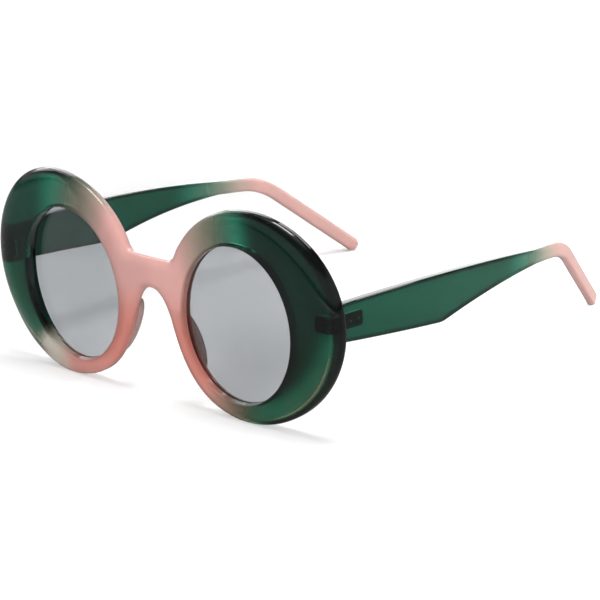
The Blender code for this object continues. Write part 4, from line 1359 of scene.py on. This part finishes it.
def fixing_tree(name, finish, slotted):
    """A head and a shank, placed on each point of the base mesh and turned along its direction."""
    number = "NodeSocketFloat"
    graph, base, value = geometry_graph(name, {
        "Head Radius": (number, 0.0), "Head Height": (number, 0.0), "Shank Radius": (number, 0.0),
        "Length": (number, 0.0), "Slot": (number, 0.0), "Overlap": (number, 0.0),
    })

    def standing(radius, low, high, sides):
        """A cylinder along Z between two heights."""
        rod = graph.add("GeometryNodeMeshCylinder", None, {
            "Vertices": sides, "Radius": radius, "Depth": high - low,
        })
        lift = graph.add("ShaderNodeCombineXYZ", None, {2: (high + low) * 0.5})
        return graph.add("GeometryNodeTransform", None, {"Geometry": rod, "Translation": lift})

    edge = value["Head Height"] * CROWN_SHARE
    head_end, overlap = value["Head Height"], value["Overlap"]
    head = standing(value["Head Radius"], edge, head_end, HEAD_SIDES)
    crown = standing(value["Head Radius"] - edge, 0.0, edge + overlap, HEAD_SIDES)
    shank = standing(value["Shank Radius"], head_end - overlap, value["Length"], SHANK_SIDES)
    joined = graph.add("GeometryNodeMeshBoolean", {"operation": "UNION", "solver": "EXACT"})
    union = joined.socket.node
    for part in (head, crown, shank):
        graph.tree.links.new(part.socket, union.inputs["Mesh 2"])
    piece = joined
    if slotted:
        size = graph.add("ShaderNodeCombineXYZ", None, {
            0: value["Head Radius"] * 3.0, 1: value["Slot"], 2: value["Slot"] * 2.0,
        })
        bar = graph.add("GeometryNodeMeshCube", None, {"Size": size})
        piece = graph.add("GeometryNodeMeshBoolean", {"operation": "DIFFERENCE", "solver": "EXACT"}, {
            "Mesh 1": joined, "Mesh 2": bar,
        })
    along = graph.add("GeometryNodeInputNamedAttribute", {"data_type": "FLOAT_VECTOR"}, {"Name": "along"})
    turn = graph.add("FunctionNodeAlignRotationToVector", {"axis": "Z"}, {"Vector": along})
    placed = graph.add("GeometryNodeInstanceOnPoints", None, {
        "Points": base, "Instance": piece, "Rotation": turn,
    })
    return close_geometry(graph, placed, finish)


def points_object(name, places):
    """A mesh of bare points, each with its direction."""
    mesh = bpy.data.meshes.new(name)
    mesh.from_pydata([place for place, _ in places], [], [])
    attribute = mesh.attributes.new("along", "FLOAT_VECTOR", "POINT")
    for item, (_, along) in zip(attribute.data, places):
        item.vector = along
    obj = bpy.data.objects.new(name, mesh)
    bpy.context.scene.collection.objects.link(obj)
    return obj


def mirror_places(places):
    """The places on the left, and their mirror images."""
    flip = Vector((-1.0, 1.0, 1.0))
    return [(place * flip, along * flip) for place, along in places]


def join_meshes(name, objects, finish):
    """One mesh object from several."""
    bm = bmesh.new()
    for obj in objects:
        bm.from_mesh(obj.data)
        bpy.data.objects.remove(obj)
    bmesh.ops.remove_doubles(bm, verts=bm.verts, dist=1e-7)
    return add_mesh(name, bm, finish, FIXING_SHARP)


# The studio

TABLE_HALF = 3.0
TABLE_GAP = 0.0001
# Between which distances from the origin the table is lifted to white
FAR_TABLE = (0.15, 0.60)
GRAIN_SCALE, GRAIN_DARKER = 900.0, 0.04
# The sky's light all round and overhead, and what polished surfaces show of the band and the left card
DIM_SKY, OVERHEAD_SKY = 0.22, 1.6
BAND_SHARE, LEFT_CARD_SHARE = 0.12, 1.1
# Heights of the sky, as the upward part of the way to it: the bright place overhead, the faint band that
# polished surfaces show, and where the sky seen through the plastic goes over into the plain light
OVERHEAD = (0.80, 0.98)
BAND_RISE, BAND_FADE = (0.02, 0.12), (0.40, 0.60)
SEEN_THROUGH = (0.05, 0.30)
# Two white cards that polished surfaces show: the way to each, and the edge of its round patch
BACK_CARD = ((-0.637, 0.707, 0.307), (0.90, 0.97))
LEFT_CARD = ((-0.860, 0.030, 0.510), (0.950, 0.985))
LAMP_AIM = (0.0, 0.0, 0.02)
SENSOR_WIDTH = 36.0
CAMERA_SEES = (0.01, 20.0)


# Operators


# An uneven way along which a pad's points and faces are put in order, so that each run gives the same
ORDER_WAY = Vector((1.0, 1.37, 1.91))


def piece_ready(piece, body, slot, *nodes):
    """Hands a finished piece to the frame: what it rides on and stands for. The slot is not used."""
    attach(piece, body)
    if nodes:
        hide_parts(*nodes)


class SUNGLASSES_OT_front(bpy.types.Operator):
    """Build the moulded front, with its grooves and the pockets for its hinge leaves"""

    bl_idname = "sunglasses.front"
    bl_label = "Front"
    bl_options = {"REGISTER", "UNDO"}

    def execute(self, context):
        form = FrontForm()
        hinge = HingeForm(form, TempleForm(form))
        finish = polished_plastic(
            "front_plastic", front_mask, front_stops(), settings("finish").milkiness,
            front_shading, rim_wall_shade,
        )
        front = add_mesh("moulded_front", form.mesh(), finish)
        front = cut(front, [hinge.front_pocket(), mirrored(hinge.front_pocket())])
        shade(front.data, PLASTIC_SHARP)
        piece_ready(front, "front", "green_plastic", "front_frame")
        return {"FINISHED"}


class SUNGLASSES_OT_lenses(bpy.types.Operator):
    """Build the two tinted lenses on their arc"""

    bl_idname = "sunglasses.lenses"
    bl_label = "Lenses"
    bl_options = {"REGISTER", "UNDO"}

    def execute(self, context):
        s, lens, form = settings("front"), settings("lens"), FrontForm()
        finish = lens_material()
        tree = lens_tree(finish)
        inner, outer = s.opening_out - s.opening_half_width, s.opening_out + s.opening_half_width
        for side, sign in SIDES.items():
            base = bpy.data.objects.new("lens_base", bpy.data.meshes.new("lens_base"))
            context.scene.collection.objects.link(base)
            use_tree(base, tree, {
                "Side": float(sign), "Out": s.opening_out, "Up": s.opening_up,
                "Half Width": s.opening_half_width, "Half Height": s.opening_half_height,
                "Lean": s.opening_lean, "In Groove": lens.in_groove, "Depth Inner": form.lens_face(inner),
                "Depth Outer": form.lens_face(outer), "Radius": lens.radius, "Front Lean": s.lean,
                "Plane": s.plane_back, "Turns": lens.turns, "Rings": lens.rings,
            })
            sheet = evaluated_copy(base, f"lens_sheet_{side}")
            bm = bmesh.new()
            bm.from_mesh(sheet.data)
            bpy.data.objects.remove(sheet)
            bmesh.ops.recalc_face_normals(bm, faces=bm.faces)
            if sum(f.normal.y * f.calc_area() for f in bm.faces) > 0:
                bmesh.ops.reverse_faces(bm, faces=bm.faces)
            self.thicken(bm, lens.thickness)
            piece = add_mesh(f"tinted_lens_{side}", bm, finish)
            piece_ready(piece, "front", "tinted_lens", f"lens_{side}")
        return {"FINISHED"}

    def thicken(self, bm, thickness):
        """Gives the sheet its wall, behind it."""
        back = {v: bm.verts.new(v.co + Vector((0.0, thickness, 0.0))) for v in bm.verts[:]}
        rim = [e for e in bm.edges if len(e.link_faces) == 1]
        for face in bm.faces[:]:
            bm.faces.new([back[v] for v in reversed(face.verts)])
        for edge in rim:
            first, second = edge.verts
            bm.faces.new((first, second, back[second], back[first]))


class SUNGLASSES_OT_nose_pads(bpy.types.Operator):
    """Build the two nose pads bonded behind the rims"""

    bl_idname = "sunglasses.nose_pads"
    bl_label = "Nose pads"
    bl_options = {"REGISTER", "UNDO"}

    def execute(self, context):
        form, s = FrontForm(), settings("pad")
        finish = pad_material()
        base = form.back(s.out) + settings("temple").butt_gap
        for side in SIDES:
            bm = bmesh.new()
            bmesh.ops.create_uvsphere(bm, u_segments=64, v_segments=48, radius=1.0)
            bmesh.ops.rotate(bm, verts=bm.verts, matrix=Matrix.Rotation(math.pi / 2, 3, "X"))
            whole = bm.verts[:] + bm.edges[:] + bm.faces[:]
            sliced = bmesh.ops.bisect_plane(
                bm, geom=whole, plane_co=(0, 0, 0), plane_no=(0, 1, 0), clear_inner=True
            )
            foot = [e for e in sliced["geom_cut"] if isinstance(e, bmesh.types.BMEdge)]
            bmesh.ops.contextual_create(bm, geom=foot)
            bmesh.ops.scale(bm, verts=bm.verts, vec=(s.thickness / 2, s.reach, s.height / 2))
            for v in bm.verts:
                u = s.out + v.co.x + math.tan(s.flare) * v.co.y - math.tan(s.lean) * v.co.z
                v.co = form.world(u, base + v.co.y, s.up + v.co.z)
            bm.verts.sort(key=lambda v: v.co.dot(ORDER_WAY))
            bm.faces.sort(key=lambda f: f.calc_center_median().dot(ORDER_WAY))
            piece = add_mesh(f"bonded_pad_{side}", bm if side == "left" else mirrored(bm), finish)
            piece_ready(piece, "front", "pink_plastic", f"nose_pad_{side}")
        return {"FINISHED"}


class SUNGLASSES_OT_temples(bpy.types.Operator):
    """Build the two moulded temples, with the pockets for their hinge leaves"""

    bl_idname = "sunglasses.temples"
    bl_label = "Temples"
    bl_options = {"REGISTER", "UNDO"}

    def execute(self, context):
        front = FrontForm()
        form = TempleForm(front)
        hinge = HingeForm(front, form)
        finish = polished_plastic(
            "temple_plastic", temple_mask, temple_stops(), settings("finish").milkiness,
            shade_mask=temple_edge_shade,
        )
        for side in SIDES:
            piece = add_mesh(f"moulded_temple_{side}", form.mesh(side), finish)
            pocket = hinge.temple_pocket()
            piece = cut(piece, [pocket if side == "left" else mirrored(pocket)])
            shade(piece.data, PLASTIC_SHARP)
            piece_ready(piece, f"temple_{side}", "green_plastic", f"temple_{side}")
        return {"FINISHED"}


class SUNGLASSES_OT_hinges(bpy.types.Operator):
    """Finish the hinge leaves in satin steel, and build their screws and rivets"""

    bl_idname = "sunglasses.hinges"
    bl_label = "Hinges"
    bl_options = {"REGISTER", "UNDO"}

    def execute(self, context):
        front = FrontForm()
        hinge = HingeForm(front, TempleForm(front))
        s = hinge.s
        finish = steel_material()
        for name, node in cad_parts.items():
            if "hinge_leaf" in name:
                node.data.materials.clear()
                node.data.materials.append(finish)
                shade(node.data, LEAF_SHARP)
        rivets = fixing_tree("rivets", finish, False)
        screws = fixing_tree("screws", finish, True)
        rivet_sizes = {
            "Head Radius": s.rivet_head, "Head Height": s.rivet_head_tall, "Shank Radius": s.rivet_radius,
            "Slot": 0.0, "Overlap": s.rivet_head_tall * OVERLAP_SHARE,
        }
        left_front, left_temple = list(hinge.front_rivets()), list(hinge.temple_rivets())
        over_head = s.screw_head_gap + s.screw_head_tall
        top = 1.5 * s.knuckle_tall + s.knuckle_gap + over_head
        left_screw = [(hinge.axis + Vector((0.0, 0.0, top)), Vector((0.0, 0.0, -1.0)))]
        base = points_object("front_rivet_points", left_front + mirror_places(left_front))
        use_tree(base, rivets, {**rivet_sizes, "Length": s.front_rivet_length})
        made = [evaluated_copy(base, "front_rivets")]
        base = points_object("screw_points", left_screw + mirror_places(left_screw))
        use_tree(base, screws, {
            "Head Radius": s.screw_head, "Head Height": s.screw_head_tall, "Shank Radius": s.screw_radius,
            "Length": 3 * s.knuckle_tall + 2 * s.knuckle_gap + over_head, "Slot": s.screw_slot,
            "Overlap": s.screw_head_tall * OVERLAP_SHARE,
        })
        made.append(evaluated_copy(base, "screws"))
        fixings = join_meshes("front_fixings", made, finish)
        names = [f"front_rivet_{side}_{level}" for side in SIDES for level in ("upper", "lower")]
        names += [f"hinge_screw_{side}" for side in SIDES]
        piece_ready(fixings, "front", "steel", *names)
        for side in SIDES:
            places = left_temple if side == "left" else mirror_places(left_temple)
            base = points_object("temple_rivet_points", places)
            use_tree(base, rivets, {**rivet_sizes, "Length": s.temple_rivet_length})
            fixings = join_meshes(f"temple_fixings_{side}", [evaluated_copy(base, "temple_rivets")], finish)
            names = [f"temple_rivet_{side}_{level}" for level in ("front", "back")]
            piece_ready(fixings, f"temple_{side}", "steel", *names)
        return {"FINISHED"}


class SUNGLASSES_OT_stage(bpy.types.Operator):
    """Build the table, the soft studio light and the camera"""

    bl_idname = "sunglasses.stage"
    bl_label = "Stage"
    bl_options = {"REGISTER", "UNDO"}

    def execute(self, context):
        s = settings("studio")
        self.floor(s)
        self.sky(context.scene, s)
        self.lamp("overhead_lamp", (0.05, 0.00, 0.80), (0.30, 0.30), s.key_power)
        self.lamp("back_lamp", (0.02, 0.62, 0.70), (0.55, 0.14), s.back_power)
        self.lamp("left_lamp", (-0.52, -0.14, 0.70), (0.20, 0.26), s.left_power)
        self.lamp("front_lamp", (0.56, -0.62, 0.20), (0.45, 0.30), s.fill_power, mirrored=False)
        self.lamp(
            "side_lamp", (0.36, 0.20, 0.17), (0.10, 0.10), s.side_power,
            mirrored=False, aim=(0.055, 0.055, 0.012), beam_degrees=28,
        )
        self.lamp("window_lamp", (-0.80, 0.10, 0.41), (0.20, 0.20), s.window_power)
        self.camera(context.scene, s)
        return {"FINISHED"}

    def floor(self, s):
        bm = bmesh.new()
        bmesh.ops.create_grid(bm, x_segments=8, y_segments=8, size=TABLE_HALF)
        mesh = bpy.data.meshes.new("table_top")
        bm.to_mesh(mesh)
        bm.free()
        floor = bpy.data.objects.new("table_top", mesh)
        bpy.context.scene.collection.objects.link(floor)
        floor.location.z = -TABLE_GAP
        made, graph = new_material("pale_table")
        place = graph.place()
        x, y, _ = graph.parts(place)
        seen = graph.math("MAXIMUM", graph.ray("Is Camera Ray"), graph.ray("Is Transmission Ray"))
        seen = graph.math("MAXIMUM", seen, graph.ray("Is Glossy Ray") * s.mirror_share)
        tint = graph.tint(seen, opaque(s.bounce_colour), opaque(s.floor_colour))
        tint = graph.tint(graph.noise(place, GRAIN_SCALE) * GRAIN_DARKER, tint, TABLE_GRAIN)
        away = graph.smooth(graph.math("SQRT", x * x + y * y), *FAR_TABLE)
        lift = s.floor_lift + (s.far_lift - s.floor_lift) * away
        paper = graph.add("ShaderNodeBsdfDiffuse", None, {"Color": tint, "Roughness": 0.5})
        glow = graph.add("ShaderNodeEmission", None, {"Color": WHITE, "Strength": seen * lift})
        finish_material(graph, graph.add("ShaderNodeAddShader", None, {0: paper, 1: glow}))
        mesh.materials.append(made)

    def sky(self, scene, s):
        """White where the camera sees it; dim all round, with a faint band and two cards for gloss."""
        world = bpy.data.worlds.new("studio")
        scene.world = world
        world.use_nodes = True
        world.node_tree.nodes.clear()
        graph = Graph(world.node_tree)
        x, y, z = graph.parts(graph.add("ShaderNodeTexCoord", output="Generated"))

        def card(way, edge):
            return graph.smooth(z * way[2] + y * way[1] + x * way[0], *edge)

        overhead = DIM_SKY + graph.smooth(z, *OVERHEAD) * OVERHEAD_SKY
        band = graph.band(z, BAND_RISE, BAND_FADE) * BAND_SHARE
        mirrored_sky = (band + card(*BACK_CARD) + card(*LEFT_CARD) * LEFT_CARD_SHARE) * s.mirrored_sky
        strength = overhead * s.sky + graph.ray("Is Glossy Ray") * mirrored_sky
        lit = graph.add("ShaderNodeBackground", None, {"Color": WHITE, "Strength": strength})
        white = graph.add("ShaderNodeBackground", None, {"Color": WHITE, "Strength": 1.0})
        low = graph.ray("Is Transmission Ray") * (1 - graph.smooth(z, *SEEN_THROUGH))
        seen = graph.math("MAXIMUM", graph.ray("Is Camera Ray"), low)
        mixed = graph.add("ShaderNodeMixShader", None, {0: seen, 1: lit, 2: white})
        output = graph.tree.nodes.new("ShaderNodeOutputWorld")
        graph.tree.links.new(mixed.socket, output.inputs["Surface"])

    def lamp(self, name, place, size, power, mirrored=True, aim=LAMP_AIM, beam_degrees=180):
        data = bpy.data.lights.new(name, "AREA")
        data.shape = "RECTANGLE"
        data.size, data.size_y = size
        data.energy = power
        data.spread = math.radians(beam_degrees)
        lamp = bpy.data.objects.new(name, data)
        bpy.context.scene.collection.objects.link(lamp)
        lamp.visible_glossy = lamp.visible_transmission = mirrored
        lamp.location = place
        lamp.rotation_euler = (Vector(aim) - Vector(place)).to_track_quat("-Z", "Y").to_euler()

    def camera(self, scene, s):
        data = bpy.data.cameras.new("camera")
        data.lens = s.camera_lens
        data.sensor_width = SENSOR_WIDTH
        data.clip_start, data.clip_end = CAMERA_SEES
        back = Vector((
            math.sin(s.camera_round) * math.cos(s.camera_up),
            -math.cos(s.camera_round) * math.cos(s.camera_up),
            math.sin(s.camera_up),
        ))
        right = Vector((math.cos(s.camera_round), math.sin(s.camera_round), 0.0))
        up = back.cross(right)
        turned_right = right * math.cos(s.camera_roll) + up * math.sin(s.camera_roll)
        turned_up = up * math.cos(s.camera_roll) - right * math.sin(s.camera_roll)
        camera = bpy.data.objects.new("camera", data)
        scene.collection.objects.link(camera)
        turn = Matrix((turned_right, turned_up, back)).transposed().to_4x4()
        camera.matrix_world = Matrix.Translation(Vector(s.camera_place)) @ turn
        scene.camera = camera
        scene.view_settings.view_transform = "Standard"


PIECES = (
    SUNGLASSES_OT_front,
    SUNGLASSES_OT_lenses,
    SUNGLASSES_OT_nose_pads,
    SUNGLASSES_OT_temples,
    SUNGLASSES_OT_hinges,
    SUNGLASSES_OT_stage,
)


class SUNGLASSES_PT_panel(bpy.types.Panel):
    """Lists the pieces and their sizes"""

    bl_idname = "SUNGLASSES_PT_panel"
    bl_label = "Sunglasses"
    bl_space_type = "VIEW_3D"
    bl_region_type = "UI"
    bl_category = "Sunglasses"

    def draw(self, context):
        for piece in PIECES:
            self.layout.operator(piece.bl_idname)
        for name in GROUPS:
            box = self.layout.box()
            box.label(text=name.capitalize())
            group = settings(name)
            for prop in group.bl_rna.properties:
                if prop.identifier not in {"rna_type", "name"}:
                    box.prop(group, prop.identifier)


CLASSES = (*GROUPS.values(), *PIECES, SUNGLASSES_PT_panel)


def register():
    for cls in CLASSES:
        bpy.utils.register_class(cls)
    for name, cls in GROUPS.items():
        setattr(bpy.types.Scene, f"sunglasses_{name}", PointerProperty(type=cls))


def unregister():
    for name in GROUPS:
        delattr(bpy.types.Scene, f"sunglasses_{name}")
    for cls in reversed(CLASSES):
        bpy.utils.unregister_class(cls)


def main():
    """Makes every piece in order."""
    register()
    for piece in PIECES:
        group, name = piece.bl_idname.split(".")
        if getattr(getattr(bpy.ops, group), name)() != {"FINISHED"}:
            raise RuntimeError(f"{piece.bl_idname} did not finish")


if __name__ == "__main__":
    main()
